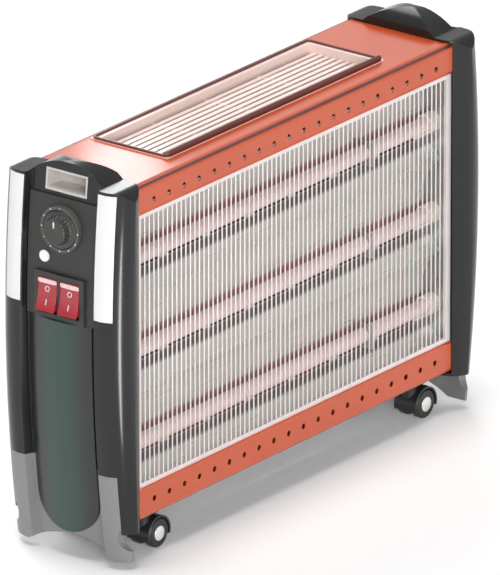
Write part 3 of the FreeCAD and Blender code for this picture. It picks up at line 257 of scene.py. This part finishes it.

# %% [markdown]
# ## Other metals
# The guards are bright plated wire in a flat frame. Silver strips are let into the columns of the end caps;
# their near-white colour is a painted highlight of a softbox on the gloss black.
# Inside are zinc plated clips and end plates, steel shafts and the wire of the coils. Each could have one
# plain colour, but metal is never quite even, so colour and polish drift at a size that suits each.
# The outlet grille shares a slot with the guards, but it has a pale enamel, so it gets a finish of its own.

# %% Other metals
# Bright plate on round wire: nearly white, and soft enough in its gloss that the wires read as even lines.
finishes["grille_wire"] = new_finish("bright_plated_wire", ("#EFE6E5", "#E2D9D8"), spot_mm=25,
                                     polish=(0.25, 0.4), patch_mm=8, Metallic=0.35)
# Stove enamel, a warm white that drifts to rose along the slats.
peach_enamel = new_finish("pale_peach_enamel", ("#FBE9DF", "#F3DAD4"), spot_mm=(140, 35, 35),
                          polish=(0.25, 0.38), patch_mm=12, IOR=1.5, Metallic=0.1)
# Silver lacquer: a near-white strip, whose colour is a painted highlight of a softbox on the column.
# Real flake is far finer than the 0.7 mm drawn here, which just shows.
finishes["silver_strip"] = new_finish("highlight_silver_lacquer", ("#E6E8E5", "#ECEDEB"), spot_mm=0.7,
                                      polish=(0.26, 0.32), patch_mm=25, edge_mm=1.0, Metallic=0.15)
# Zinc plate: a cool grey with a cloudy spangle.
finishes["zinc_sheet"] = new_finish("zinc_plated_sheet", ("#A9ACAE", "#C2C3C2"), spot_mm=12,
                                    Metallic=1.0, Roughness=0.38)
# Turned steel: a plain bright metal whose gloss is a little uneven.
finishes["steel_shaft"] = new_finish("turned_steel", polish=(0.2, 0.35), patch_mm=3,
                                     Metallic=1.0, Base_Color=linear("#B4B4B6"))
# Heater wire after use: a dull red-brown scale.
finishes["resistance_wire"] = new_finish("oxidised_resistance_wire", ("#8C4A44", "#5E3531"), spot_mm=3,
                                         Metallic=0.7, Roughness=0.5)
print("metal finishes:", len(finishes), "and the outlet's enamel")

# %% [markdown]
# ## Mouldings of the ends
# The end caps are gloss black ABS, straight from a polished mould. The boots are a silver-grey moulding
# with metal flake, and the panels are matt. The tongue's colour is graded across Y, green-grey on its crown
# and near black at its edges: a painted sheen on the crown and painted shade at the edges, added to the
# little shade that the lamps give its crown.

# %% Mouldings of the ends
CROWN_HALF = 8
TONGUE_EDGE = 34

# Gloss black: hardly any colour of its own, so the eye sees the studio in it.
finishes["black_cap"] = new_finish("gloss_black_abs", ("#161718", "#1E1F20"), spot_mm=60,
                                   polish=(0.14, 0.24), patch_mm=30, edge_mm=1.0, IOR=1.46)
# Silver-grey: a grey with a faint metal glow. Its flake too is drawn coarser than it is, at 0.6 mm.
finishes["silver_boot"] = new_finish("silver_grey_abs", ("#807F80", "#8E8C8D"), spot_mm=0.6,
                                     polish=(0.3, 0.42), patch_mm=15, edge_mm=1.0, IOR=1.5, Metallic=0.25)
# Matt grey: a spark-eroded mould leaves a dull, even grain, which is drawn at 0.9 mm so that it shows.
finishes["panel_grey"] = new_finish("matt_grey_abs", ("#2C2C2B", "#353533"), spot_mm=0.9,
                                    grain_mm=0.9, edge_mm=0.8, IOR=1.5, Roughness=0.55)
# Pale liner: a plain light moulding that makes the grip read as a hole.
finishes["grip_grey"] = new_finish("grey_moulded_liner", ("#C6C1BC", "#D2CDC8"), spot_mm=1.2,
                                   edge_mm=0.8, IOR=1.5, Roughness=0.45)
# Green-grey tongue: satin under a thin gloss, with a painted sheen of green on the crown and painted shade at
# its edges.
tongue_finish = new_finish("dark_green_grey_abs", polish=(0.26, 0.38), patch_mm=10, edge_mm=1.2,
                           IOR=1.5, Coat_Weight=0.2, Coat_Roughness=0.2)
tree = tongue_finish.node_tree
place = add_node(tree, "ShaderNodeTexCoord")
point = add_node(tree, "ShaderNodeSeparateXYZ", {"Vector": place.outputs["Object"]})
# Painted shade grows toward the edges, and the green crown is a painted sheen.
from_middle = add_node(tree, "ShaderNodeMath", {0: point.outputs["Y"]}, operation="ABSOLUTE")
edge_shade_share = add_node(tree, "ShaderNodeMapRange", {"Value": from_middle.outputs[0], "From Min": CROWN_HALF * MM,
                                                "From Max": TONGUE_EDGE * MM},
                   interpolation_type="SMOOTHSTEP")
sheen_and_edge_shade = add_node(tree, "ShaderNodeMix", {"Factor": edge_shade_share.outputs["Result"], "A": linear("#263F36"),
                                          "B": linear("#222324")}, data_type="RGBA")
tree.links.new(sheen_and_edge_shade.outputs["Result"], tree.nodes["Principled BSDF"].inputs["Base Color"])
finishes["green_grey_tongue"] = tongue_finish
print("finishes so far:", len(finishes))

# %% [markdown]
# ## Controls, casters, glass and ceramic
# The small mouldings differ in how much light they let in: nylon none, the red rockers and the lamp lens
# a little. Glass could be clear, but the tubes are milky quartz: light goes in and scatters, so they look
# pale pink-white. A low transmission over a pale colour gives that with little noise.

# %% Controls, casters, glass and ceramic
# Black nylon: a dark satin that is a little patchy.
finishes["control_black"] = new_finish("black_nylon", ("#1B1B1C", "#262627"), spot_mm=8,
                                       polish=(0.28, 0.42), patch_mm=2, edge_mm=0.6, IOR=1.53)
# Dark grey ring: satin, one step lighter than the panel, so the dial stands out from it.
finishes["dial_ring_grey"] = new_finish("dark_grey_ring", ("#4B4B49", "#565553"), spot_mm=1.5,
                                        polish=(0.32, 0.46), patch_mm=4, IOR=1.5)
# Hard tread: black, dulled in spots by the floor.
finishes["caster_tread"] = new_finish("hard_black_tread", ("#1A1A1A", "#2A2A2A"), spot_mm=3,
                                      IOR=1.5, Roughness=0.4)
# Red polycarbonate: a clear gloss over a red that glows, because light goes 3 mm into it.
finishes["red_rocker"] = new_finish("red_translucent_polycarbonate", ("#AE1C2A", "#9C1524"), spot_mm=14,
                                    edge_mm=0.7, IOR=1.58, Roughness=0.15,
                                    Coat_Weight=0.4, Coat_Roughness=0.08,
                                    Subsurface_Weight=0.2, Subsurface_Scale=3 * MM)
# Frosted lens: white and soft, lit through.
finishes["lamp_white"] = new_finish("frosted_lens", ("#F2F0EA", "#FFFFFF"), spot_mm=3,
                                    IOR=1.49, Roughness=0.25,
                                    Subsurface_Weight=0.4, Subsurface_Scale=3 * MM)
# Cream moulding of the lamp holder and the terminals: plain and dull.
finishes["lamp_holder_white"] = new_finish("cream_moulding", ("#DCD8CC", "#E6E2D6"), spot_mm=6, Roughness=0.4)
# Milky quartz: pale rose with a clear skin, streaked along the tube as it was drawn.
finishes["quartz"] = new_finish("milky_quartz", ("#FBE6E4", "#F5DAD9"), spot_mm=(120, 20, 20),
                                IOR=1.46, Roughness=0.25, Transmission_Weight=0.25,
                                Coat_Weight=0.2, Coat_Roughness=0.06)
# Glazed steatite: cream white under a soft glaze.
finishes["white_ceramic"] = new_finish("glazed_steatite", ("#ECE7DC", "#E0DACC"), spot_mm=4,
                                       IOR=1.55, Roughness=0.3)
print("finishes:", len(finishes))

# %% [markdown]
# ## Giving the finishes
# Every solid names a material slot in the record, and the finishes carry the names of those slots.
# A solid could be dressed by hand, one at a time, but the record already says what each is made of.

# %% Giving the finishes
for part in frame["record"]["subparts"]:
    nodes[part["node"]].data.materials.clear()
    nodes[part["node"]].data.materials.append(finishes[part["material_slot"]])
nodes["top_outlet_grille"].data.materials[0] = peach_enamel

# %% [markdown]
# ## Surfaces from grids of points
# A modelled piece can start from a primitive, a curve with a bevel, or a grid of points worked out
# at once. The grid is used here: rows follow a path or a turning profile, columns go round it,
# and numpy gives all the points without a loop.

# %% Surfaces from grids of points
MERGE_DISTANCE = 0.0005


def cover(name, grids, slot, body, finish=None, round_rows=False):
    """Covers grids of points (rows, columns, xyz) with four-sided faces and makes one piece of them.
    Columns close to a ring, and rows too where they go round. Points that fall together are merged, and the
    faces are turned outward: the volume that they close, the sum of a . (b x c) over their triangles,
    has to be positive."""
    points, faces, start = [], [], 0
    for grid in grids:
        rows, columns = grid.shape[:2]
        index = start + np.arange(rows * columns).reshape(rows, columns)
        index = np.vstack([index, index[:1]]) if round_rows else index
        index = np.hstack([index, index[:, :1]])
        corners = [index[:-1, :-1], index[:-1, 1:], index[1:, 1:], index[1:, :-1]]
        faces.append(np.stack(corners, axis=-1).reshape(-1, 4))
        points.append(grid.reshape(-1, 3))
        start += rows * columns
    points, faces = np.concatenate(points) * MM, np.concatenate(faces)
    a, b, c, d = points[faces].transpose(1, 0, 2)
    volume = np.sum(a * np.cross(b, c)) + np.sum(a * np.cross(c, d))
    mesh = bpy.data.meshes.new(name)
    mesh.from_pydata(points.tolist(), [], (faces if volume > 0 else faces[:, ::-1]).tolist())
    merged = bmesh.new()
    merged.from_mesh(mesh)
    bmesh.ops.remove_doubles(merged, verts=merged.verts, dist=MERGE_DISTANCE * MM)
    merged.to_mesh(mesh)
    merged.free()
    mesh.shade_smooth()
    mesh.materials.append(finish or finishes[slot])
    made = bpy.data.objects.new(name, mesh)
    bpy.context.scene.collection.objects.link(made)
    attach(made, body)
    print("made", name, len(mesh.polygons), "faces")
    return made


def round_angles(count):
    """Angles of a full turn in even steps, as one row of a grid."""
    return np.linspace(0, 2 * np.pi, count, endpoint=False)[None, :]


print("points within", MERGE_DISTANCE, "mm become one")

# %% [markdown]
# ## Heating coils
# In each tube a resistance wire is wound to a close helix. A plain rod would do from afar, but the
# milky quartz lets the turns show through. A helix is a pipe along x = pitch * turn / 2 pi.

# %% Heating coils
UPRIGHT_LIMIT = 0.9
BANKS = (("front", -1), ("rear", 1))
TUBE_ASIDE = 41
TUBE_HEIGHTS = TUBE_LOW + TUBE_PITCH * np.arange(3)
COIL_RADIUS = 4.6
COIL_WIRE = 0.55
COIL_PITCH = 4.2
COIL_HALF = 250
STEPS_PER_TURN = 14
WIRE_SIDES = 5


def piped(path, radius, sides):
    """Round pipe along a path of points: p + radius * (cos * side + sin * rise), where side and rise are
    square to the path's own direction. Each end closes in a fan to the path."""
    step = np.gradient(path, axis=0)
    step /= np.linalg.norm(step, axis=1, keepdims=True)
    lift = np.where(np.abs(step[:, 2:3]) > UPRIGHT_LIMIT, [[1.0, 0, 0]], [[0, 0, 1.0]])
    side = np.cross(step, lift)
    side /= np.linalg.norm(side, axis=1, keepdims=True)
    rise = np.cross(side, step)
    angle = round_angles(sides)[:, :, None]
    wall = path[:, None] + radius * (np.cos(angle) * side[:, None] + np.sin(angle) * rise[:, None])
    ends = np.broadcast_to(path[[0, -1], None], (2, sides, 3))
    return np.concatenate([ends[:1], wall, ends[1:]])


turn = np.arange(0, 2 * COIL_HALF / COIL_PITCH, 1 / STEPS_PER_TURN) * 2 * np.pi
for bank, side in BANKS:
    helices = [np.stack([turn * COIL_PITCH / (2 * np.pi) - COIL_HALF,
                         side * TUBE_ASIDE + COIL_RADIUS * np.cos(turn),
                         tube + COIL_RADIUS * np.sin(turn)], axis=-1) for tube in TUBE_HEIGHTS]
    coil = cover(f"{bank}_wound_coils", [piped(helix, COIL_WIRE, WIRE_SIDES) for helix in helices],
                 "resistance_wire", "case")
    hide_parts(f"{bank}_coils")

# %% [markdown]
# ## Heat shield
# A dark sheet stands between the two banks and keeps one from heating the back of the other.
# It shows only through the slots of the reflectors, and its near-black colour is painted shade there:
# the slots read as a dark line below each tube. A flat plane would
# do, but such a thin sheet is pressed with upright ribs: y = height * exp(-(distance to a rib / width)^2).

# %% Heat shield
SHIELD_HALF = 260.4
SHIELD_LOW, SHIELD_HIGH = 78, 366
SHIELD_SHEET = 0.8
SHIELD_BRIM = 0.4
SHIELD_STEPS = 360
RIB_PITCH, RIB_WIDTH, RIB_HEIGHT = 70, 6, 2.5

# Dark steel: a dull brown-black, painted shade that gives the slots their depth.
shield_dark_steel = new_finish("dark_shield_sheet", ("#2A2725", "#37312E"), spot_mm=20,
                       polish=(0.48, 0.62), patch_mm=8, Metallic=0.3)
shield_line = np.linspace(-SHIELD_HALF, SHIELD_HALF, SHIELD_STEPS)
from_rib = np.mod(shield_line, RIB_PITCH) - RIB_PITCH / 2
pressed = RIB_HEIGHT * np.exp(-(from_rib / RIB_WIDTH) ** 2)
round_line = np.concatenate([shield_line, shield_line[::-1]])[None, :]
round_press = np.concatenate([pressed, pressed[::-1]])[None, :]
face_side = np.repeat([-1, 1], SHIELD_STEPS)[None, :]
shield_rows = np.array([[SHIELD_LOW], [SHIELD_LOW + SHIELD_BRIM], [SHIELD_HIGH - SHIELD_BRIM], [SHIELD_HIGH]])
fullness = np.array([[0], [1], [1], [0]])
shield = np.stack([round_line + 0 * shield_rows, round_press + fullness * face_side * SHIELD_SHEET / 2,
                   shield_rows + 0 * round_line], axis=-1)
cover("heat_shield", [shield], "steel_shaft", "case", shield_dark_steel)

# %% [markdown]
# ## Hems of the window
# The free edges of the aprons round the guard are rolled, which stiffens the sheet and leaves no sharp
# edge. A bevel on the sheet would only break its edge, so each hem is a thin pipe along it, and it draws
# the fine line that frames the window.

# %% Hems of the window
LINE_STEPS = 40
HEM_RADIUS = 1.3
HEM_HALF = 258
HEM_ASIDE = 64.2
HEM_HEIGHTS = (76, 367)
HEM_SIDES = 14


def line_along_x(half, aside, height):
    """Straight path from x = -half to x = half at one y and z."""
    x = np.linspace(-half, half, LINE_STEPS)
    return np.stack([x, np.full_like(x, aside), np.full_like(x, height)], axis=-1)


hems = [piped(line_along_x(HEM_HALF, side * HEM_ASIDE, edge), HEM_RADIUS, HEM_SIDES)
        for side in (-1, 1) for edge in HEM_HEIGHTS]
cover("window_hems", hems, "orange_enamel", "case")

# %% [markdown]
# ## Lip of the outlet
# A folded lip frames the outlet. It is higher along the front, where it throws the warm air back
# from the edge. Its dark maroon-brown is painted shade on its front face. A bent strip of one height would
# be simpler, but here a profile is carried round a rectangle with round corners, and its height follows the
# way each point faces.

# %% Lip of the outlet
LIP_CORNER = 5
CORNER_STEPS = 9
LIP_LOW = 2.2
LIP_HIGH = 6.0
# Rows of distance from the line of the lip, and share of its height.
lip_profile = np.array([(-1.6, 0.0), (-1.5, 0.8), (-0.9, 1.0), (0.3, 1.0),
                        (1.1, 0.86), (1.5, 0.6), (1.7, 0.0)])

# Dark steel: a maroon brown in long soft streaks, half dull, as painted shade on the lip and a painted shadow
# line on the beads.
dark_brown_shade = new_finish("shade_brown_steel", ("#5E3331", "#7A4A45"), spot_mm=(72, 18, 18),
                     polish=(0.32, 0.5), patch_mm=5, Metallic=0.3)
outlet_low, outlet_high = (np.array(c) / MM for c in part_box("top_outlet_grille"))
outlet_middle = (outlet_low + outlet_high) / 2
corner_at = (outlet_high - outlet_low) / 2 - LIP_CORNER - lip_profile[:, 0].max()
quarter = np.linspace(0, np.pi / 2, CORNER_STEPS)
faces_way = np.concatenate([quarter + corner * np.pi / 2 for corner in range(4)])
corner_x = np.repeat([1, -1, -1, 1], CORNER_STEPS) * corner_at[0]
corner_y = np.repeat([1, 1, -1, -1], CORNER_STEPS) * corner_at[1]
out_x, out_y = np.cos(faces_way)[:, None], np.sin(faces_way)[:, None]
lip_tall = LIP_LOW + (LIP_HIGH - LIP_LOW) * np.clip(-out_y, 0, 1)
lip_out = LIP_CORNER + lip_profile[:, 0][None, :]
lip = np.stack([outlet_middle[0] + corner_x[:, None] + lip_out * out_x,
                outlet_middle[1] + corner_y[:, None] + lip_out * out_y,
                outlet_high[2] + lip_profile[:, 1][None, :] * lip_tall], axis=-1)
cover("outlet_lip", [lip], "grille_wire", "case", dark_brown_shade, round_rows=True)

# %% [markdown]
# ## Beads of the top
# A dark line runs along the long edges of the top. It is made as a bead, a ridge that keeps the fold
# straight when the sheet gets hot, and it has the lip's dark brown, a painted shadow line along the fold.
# A line in the paint would be flat, so each bead is a pipe that is half sunk in the round of the fold.

# %% Beads of the top
BEAD_RADIUS = 2.0
BEAD_SUNK = 1.0
BEAD_HALF = 259
BEAD_SIDES = 16
FOLD_RADIUS = 7
cover_high = np.array(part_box("top_cover")[1]) / MM
# The bead's middle lies on the 45 degree line of the fold, a little under its round.
bead_in = FOLD_RADIUS - (FOLD_RADIUS - BEAD_SUNK) * math.sqrt(0.5)
bead_aside, bead_height = cover_high[1:] - bead_in
beads = [piped(line_along_x(BEAD_HALF, side * bead_aside, bead_height), BEAD_RADIUS, BEAD_SIDES)
         for side in (-1, 1)]
cover("top_beads", beads, "orange_enamel", "case", dark_brown_shade)

# %% [markdown]
# ## Thermostat knob
# The knob is turned from a profile: a skirt, a waist and a fluted grip with a dished face. The flutes could
# be cut from it one by one, but they come from one cosine of the angle, so the ribs are even.

# %% Thermostat knob
KNOB_HEIGHT = 350
KNOB_BASE = -297.9
KNOB_TIP = -310.8
KNOB_STEPS = 240
FLUTES = 20
FLUTE_DEPTH = 0.9
BORE_RADIUS = 3.2
BORE_CLEARANCE = 0.2
bore_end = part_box("thermostat_shaft")[0][0] / MM - BORE_CLEARANCE
# Rows of place along X, radius, and share of the flutes' depth.
knob_profile = np.array([
    (bore_end, 0, 0), (bore_end, BORE_RADIUS, 0), (KNOB_BASE, BORE_RADIUS, 0),
    (KNOB_BASE, 19.0, 0), (KNOB_BASE - 0.5, 19.8, 0), (KNOB_BASE - 3.0, 19.8, 0),
    (KNOB_BASE - 3.7, 19.2, 0), (KNOB_BASE - 3.9, 16.0, 0), (KNOB_BASE - 4.4, 15.2, 0.3),
    (KNOB_BASE - 5.2, 15.0, 1), (KNOB_TIP + 2.2, 13.9, 1), (KNOB_TIP + 1.0, 13.5, 0.8),
    (KNOB_TIP + 0.3, 12.8, 0.3), (KNOB_TIP, 11.8, 0),
    (KNOB_TIP + 0.5, 9.0, 0), (KNOB_TIP + 0.8, 4.0, 0), (KNOB_TIP + 0.8, 0, 0)])


def fluted(profile):
    """Turns the profile about the knob's axis. The radius is cut by depth * share * cos(flutes * angle / 2)
    squared, which leaves ribs between round flutes."""
    along, radius, share = profile.T[:, :, None]
    angle = round_angles(KNOB_STEPS)
    cut = radius - FLUTE_DEPTH * share * np.cos(FLUTES * angle / 2) ** 2
    return np.stack([along + 0 * angle, cut * np.cos(angle), KNOB_HEIGHT + cut * np.sin(angle)], axis=-1)


# Satin grey ABS: a soft gloss that lets the ribs show as light and dark lines.
knob_grey = new_finish("satin_grey_abs", ("#333332", "#3C3C3A"), spot_mm=6,
                       polish=(0.24, 0.36), patch_mm=3, IOR=1.5)
knob = cover("fluted_knob", [fluted(knob_profile)], "control_black", "knob", knob_grey)
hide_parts("thermostat_knob")

# %% [markdown]
# ## Pointer and dial marks
# A white bar on the knob points at printed marks on the ring, which grow wider as the heat goes up.
# They could be part of the finish, but print has an edge that shows, so each is a thin raised bar.

# %% Pointer and dial marks
PRINT_HALF = 0.2
POINTER_LIFT = 0.35
MARKS = 10
MARK_HALF_WIDTHS = (0.25, 0.6)
DIAL_SWEEP = math.radians(270)


def bars(angles, inner, outer, half_widths, face):
    """Flat bars that point out from the knob's axis, a grid for each. Rows run along a bar and close on its
    middle at both ends, and columns go round it: with r along the bar and a across it,
    y = r cos - a sin and z = r sin + a cos."""
    angle = np.reshape(angles, (-1, 1, 1))
    half = np.reshape(half_widths, (-1, 1, 1))
    along = np.array([inner, inner, outer, outer])[:, None]
    full = np.array([0, 1, 1, 0])[:, None]
    across = half * full * np.array([-1, -1, 1, 1])
    proud = PRINT_HALF * full * np.array([-1, 1, 1, -1])
    return np.stack([face - proud + 0 * across, along * np.cos(angle) - across * np.sin(angle),
                     KNOB_HEIGHT + along * np.sin(angle) + across * np.cos(angle)], axis=-1)


# Printed ink: a flat white, a little uneven. Its grain is drawn at 0.5 mm, which is coarser than it is.
white_print = new_finish("white_print", ("#E4E4E1", "#EEEEEC"), spot_mm=0.5, Roughness=0.5)
pointer = bars([np.pi / 2], inner=4.5, outer=12.0, half_widths=[0.9], face=KNOB_TIP + POINTER_LIFT)
cover("knob_pointer", pointer, "lamp_white", "knob", white_print)
ring_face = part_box("dial_ring")[0][0] / MM
marks = bars(np.pi / 2 - np.linspace(0, DIAL_SWEEP, MARKS), inner=21.2, outer=23.4,
             half_widths=np.linspace(*MARK_HALF_WIDTHS, MARKS), face=ring_face)
cover("dial_marks", marks, "lamp_white", "case", white_print)

# %% [markdown]
# ## Windows and marks on the rockers
# Each rocker carries a pale window along its upper edge, where a neon shines through, a ring for off
# and a line for on. The window's pale pink is also a painted highlight on the rocker's upper edge.
# They lie on its dipped face, which is part of a wide circle, and they tilt with
# the rocker. The ring is on the upper half, which is pressed in while the heater is off.
# Flat decals would cut through the curve, so every point is worked out on it.

# %% Windows and marks on the rockers
ROCKER_PIVOT = np.array([-297, 13.8, 279])
ROCKER_TILT = math.radians(9)
FACE_RADIUS = 59.05
FACE_DIP = -6.5
SQUARENESS = 0.4
MARK_STEPS = 48
MARK_RISE = 0.12


def on_rocker(aside, up, lift, side):
    """Puts points (aside, up) on the dipped face, x = dip - (R - sqrt(R^2 - up^2)) - lift, and tilts them."""
    deep = FACE_DIP - (FACE_RADIUS - np.sqrt(FACE_RADIUS ** 2 - up ** 2)) - lift
    x = deep * math.cos(ROCKER_TILT) + up * math.sin(ROCKER_TILT)
    z = -deep * math.sin(ROCKER_TILT) + up * math.cos(ROCKER_TILT)
    return np.stack([ROCKER_PIVOT[0] + x, side * ROCKER_PIVOT[1] + aside, ROCKER_PIVOT[2] + z], axis=-1)


def pad(half_wide, half_tall, middle_up, rise, side):
    """Low cushion on the face: a squircle, cos and sin each to the power of squareness,
    drawn in over its crown."""
    angle = round_angles(MARK_STEPS)
    wide = half_wide * np.sign(np.cos(angle)) * np.abs(np.cos(angle)) ** SQUARENESS
    tall = half_tall * np.sign(np.sin(angle)) * np.abs(np.sin(angle)) ** SQUARENESS
    drawn = np.array([[0], [1], [1], [0.96], [0.86], [0]])
    lift = np.array([[-0.3], [-0.3], [0.6], [0.9], [1.0], [1.0]]) * rise
    return on_rocker(drawn * wide, middle_up + drawn * tall, lift + 0 * angle, side)


def loop_mark(radius, half_line, middle_up, rise, side):
    """Printed ring of square section: a closed profile carried round a circle."""
    angle = round_angles(MARK_STEPS)
    out = radius + half_line * np.array([[-1], [-1], [1], [1]])
    lift = rise * np.array([[-1], [1], [1], [-1]])
    return on_rocker(out * np.cos(angle), middle_up + out * np.sin(angle), lift + 0 * angle, side)


# Rosy lens: a clear pink-white moulding that light goes into; its pale colour is a painted highlight along
# the rocker's upper edge.
highlight_window_lens = new_finish("rosy_window_lens", ("#F6D9D8", "#EFC4C6"), spot_mm=4, IOR=1.49, Roughness=0.2,
                         Subsurface_Weight=0.3, Subsurface_Scale=2 * MM)
for bank, side in BANKS:
    body = f"rocker_{bank}"
    window = pad(half_wide=11.6, half_tall=2.3, middle_up=13.4, rise=0.5, side=side)
    off_ring = loop_mark(radius=2.5, half_line=0.4, middle_up=5.5, rise=MARK_RISE, side=side)
    on_line = pad(half_wide=0.5, half_tall=3.0, middle_up=-8.0, rise=MARK_RISE, side=side)
    cover(f"{bank}_window", [window], "red_rocker", body, highlight_window_lens)
    cover(f"{bank}_off_mark", [off_ring], "lamp_white", body, white_print, round_rows=True)
    cover(f"{bank}_on_mark", [on_line], "lamp_white", body, white_print)

# %% [markdown]
# ## Hub caps of the casters
# A pressed and nickel plated cap closes the end of each axle. It is a low dome with a rolled brim. A sphere
# that is cut off would lack the brim, so a profile is turned about the axle, which lies along Y.
# Both caps of a wheel pair make one piece, and they roll with the wheels.

# %% Hub caps of the casters
HUB_STEPS = 40
# Rows of height over the wheel's face, and radius.
hub_profile = np.array([(-0.4, 0), (-0.4, 7.5), (0.5, 7.7), (0.8, 7.1),
                        (0.7, 6.5), (1.3, 5.0), (1.8, 2.8), (2.0, 0)])
hub_proud, hub_radius = hub_profile.T[:, :, None]

# Bright nickel: a pale warm metal. It is set less metallic than it is, so that it stays bright in the shade
# under the heater.
nickel = new_finish("bright_nickel_cap", ("#F3F2EF", "#E8E6E2"), spot_mm=4,
                    polish=(0.16, 0.28), patch_mm=2, Metallic=0.4)
angle = round_angles(HUB_STEPS)
for caster in ("near_front", "near_rear", "far_front", "far_rear"):
    low, high = (np.array(c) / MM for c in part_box(f"caster_{caster}_wheels"))
    axle_x, axle_z = ((low + high) / 2)[[0, 2]]
    hubs = [np.stack([axle_x + side * hub_radius * np.cos(angle), face + side * hub_proud + 0 * angle,
                      axle_z + hub_radius * np.sin(angle)], axis=-1)
            for side, face in ((-1, low[1]), (1, high[1]))]
    cover(f"caster_{caster}_hubs", hubs, "steel_shaft", f"caster_{caster}_wheelset", nickel)

# %% [markdown]
# ## Floor
# The heater stands on a white floor that keeps its shadow. More light could make the floor white, but it
# would bleach the heater too, so the paper itself glows a little, and only for rays that show it directly.

# %% Floor
FLOOR_HALF = 12.0
FLOOR_LIFT = 0.08
WHITE = (1, 1, 1, 1)
floor_mesh = bpy.data.meshes.new("floor")
floor_mesh.from_pydata([(-FLOOR_HALF, -FLOOR_HALF, 0), (FLOOR_HALF, -FLOOR_HALF, 0),
                        (FLOOR_HALF, FLOOR_HALF, 0), (-FLOOR_HALF, FLOOR_HALF, 0)], [], [(0, 1, 2, 3)])
floor = bpy.data.objects.new("floor", floor_mesh)
bpy.context.scene.collection.objects.link(floor)


def seen_directly(tree, gloss=1.0):
    """One for rays that go to the camera or through glass, gloss for those that a shiny surface throws
    back."""
    rays = add_node(tree, "ShaderNodeLightPath")
    direct = add_node(tree, "ShaderNodeMath", {0: rays.outputs["Is Camera Ray"],
                                               1: rays.outputs["Is Transmission Ray"]}, operation="ADD")
    thrown = add_node(tree, "ShaderNodeMath", {0: rays.outputs["Is Glossy Ray"], 1: gloss},
                      operation="MULTIPLY")
    seen = add_node(tree, "ShaderNodeMath", {0: direct.outputs[0], 1: thrown.outputs[0]}, operation="ADD",
                    use_clamp=True)
    return seen.outputs[0]


# Matt white paper: no gloss at all, so the shadow has a soft clean edge.
paper = new_finish("matt_white_paper", Roughness=0.9, Base_Color=linear("#F7F7F7"), Emission_Color=WHITE)
tree = paper.node_tree
lift = add_node(tree, "ShaderNodeMath", {0: seen_directly(tree), 1: FLOOR_LIFT}, operation="MULTIPLY")
tree.links.new(lift.outputs[0], tree.nodes["Principled BSDF"].inputs["Emission Strength"])
floor_mesh.materials.append(paper)
print("floor:", 2 * FLOOR_HALF, "m wide")

# %% [markdown]
# ## Sky
# The sky fills in a little light from all round. To the camera and through glass it is plain white, and so
# it is in gloss near the horizon, while the ceiling of the studio is darker there. One white all over would
# be simpler, but then the gloss of the top and the caps would look milky.

# %% Sky
SKY_FILL = 0.24
CEILING_START, CEILING_END = 0.05, 0.3
CEILING_LEVEL = 0.35
world = bpy.data.worlds.new("studio")
bpy.context.scene.world = world
world.use_nodes = True
tree = world.node_tree
way = add_node(tree, "ShaderNodeTexCoord")
climb = add_node(tree, "ShaderNodeSeparateXYZ", {"Vector": way.outputs["Generated"]})
ceiling = add_node(tree, "ShaderNodeMapRange", {"Value": climb.outputs["Z"],
                                                "From Min": CEILING_START, "From Max": CEILING_END,
                                                "To Min": 1.0, "To Max": CEILING_LEVEL})
level = add_node(tree, "ShaderNodeMapRange", {"Value": seen_directly(tree, ceiling.outputs["Result"]),
                                              "To Min": SKY_FILL, "To Max": 1.0})
background = tree.nodes["Background"]
background.inputs["Color"].default_value = WHITE
tree.links.new(level.outputs["Result"], background.inputs["Strength"])
bpy.context.scene.view_settings.view_transform = "Standard"
print("sky:", len(tree.nodes), "nodes, fill", SKY_FILL)

# %% [markdown]
# ## Lamps
# Large area lamps fall off with distance, so wide suns give the soft light evenly: one high up, whose shadow
# stays under the heater, and one low in front on the left. A weaker one behind lights the far sides.
# Two small lamps that only gloss shows add the highlights of a softbox, one by the near corner of the top
# and one on the near front column.

# %% Lamps
def shine(light, place, target=(0, 0, 0)):
    """Stands a light at a place and turns it toward a target."""
    lamp = bpy.data.objects.new(light.name, light)
    lamp.location = place
    lamp.rotation_euler = (Vector(target) - Vector(place)).to_track_quat("-Z", "Y").to_euler()
    bpy.context.scene.collection.objects.link(lamp)
    return lamp


def sun(name, strength, spread, place):
    """Adds a wide sun that shines from place toward the heater. Spread is the angle that it fills."""
    light = bpy.data.lights.new(name, "SUN")
    light.energy = strength
    light.angle = math.radians(spread)
    shine(light, place)


def glint(name, power, size, place, target):
    """Adds a small oval lamp of that width and height, for gloss alone."""
    light = bpy.data.lights.new(name, "AREA")
    light.shape = "ELLIPSE"
    light.size, light.size_y = size
    light.energy = power
    lamp = shine(light, place, target)
    lamp.visible_camera = False
    lamp.visible_diffuse = False
    lamp.visible_transmission = False


sun("high_sun", strength=1.6, spread=22, place=(-0.2, 0.05, 2.0))
sun("low_sun", strength=1.95, spread=30, place=(-1.5, -1.5, 0.6))
sun("back_sun", strength=1.2, spread=40, place=(1.1, 1.7, 1.5))
glint("corner_glint", power=0.12, size=(0.09, 0.09),
      place=(0.023, 0.171, 0.521), target=(-0.238, -0.027, 0.397))
glint("column_glint", power=0.7, size=(0.05, 0.28),
      place=(-0.418, -0.32, 0.145), target=(-0.29, -0.07, 0.145))
print("lamps:", len(bpy.data.lights))
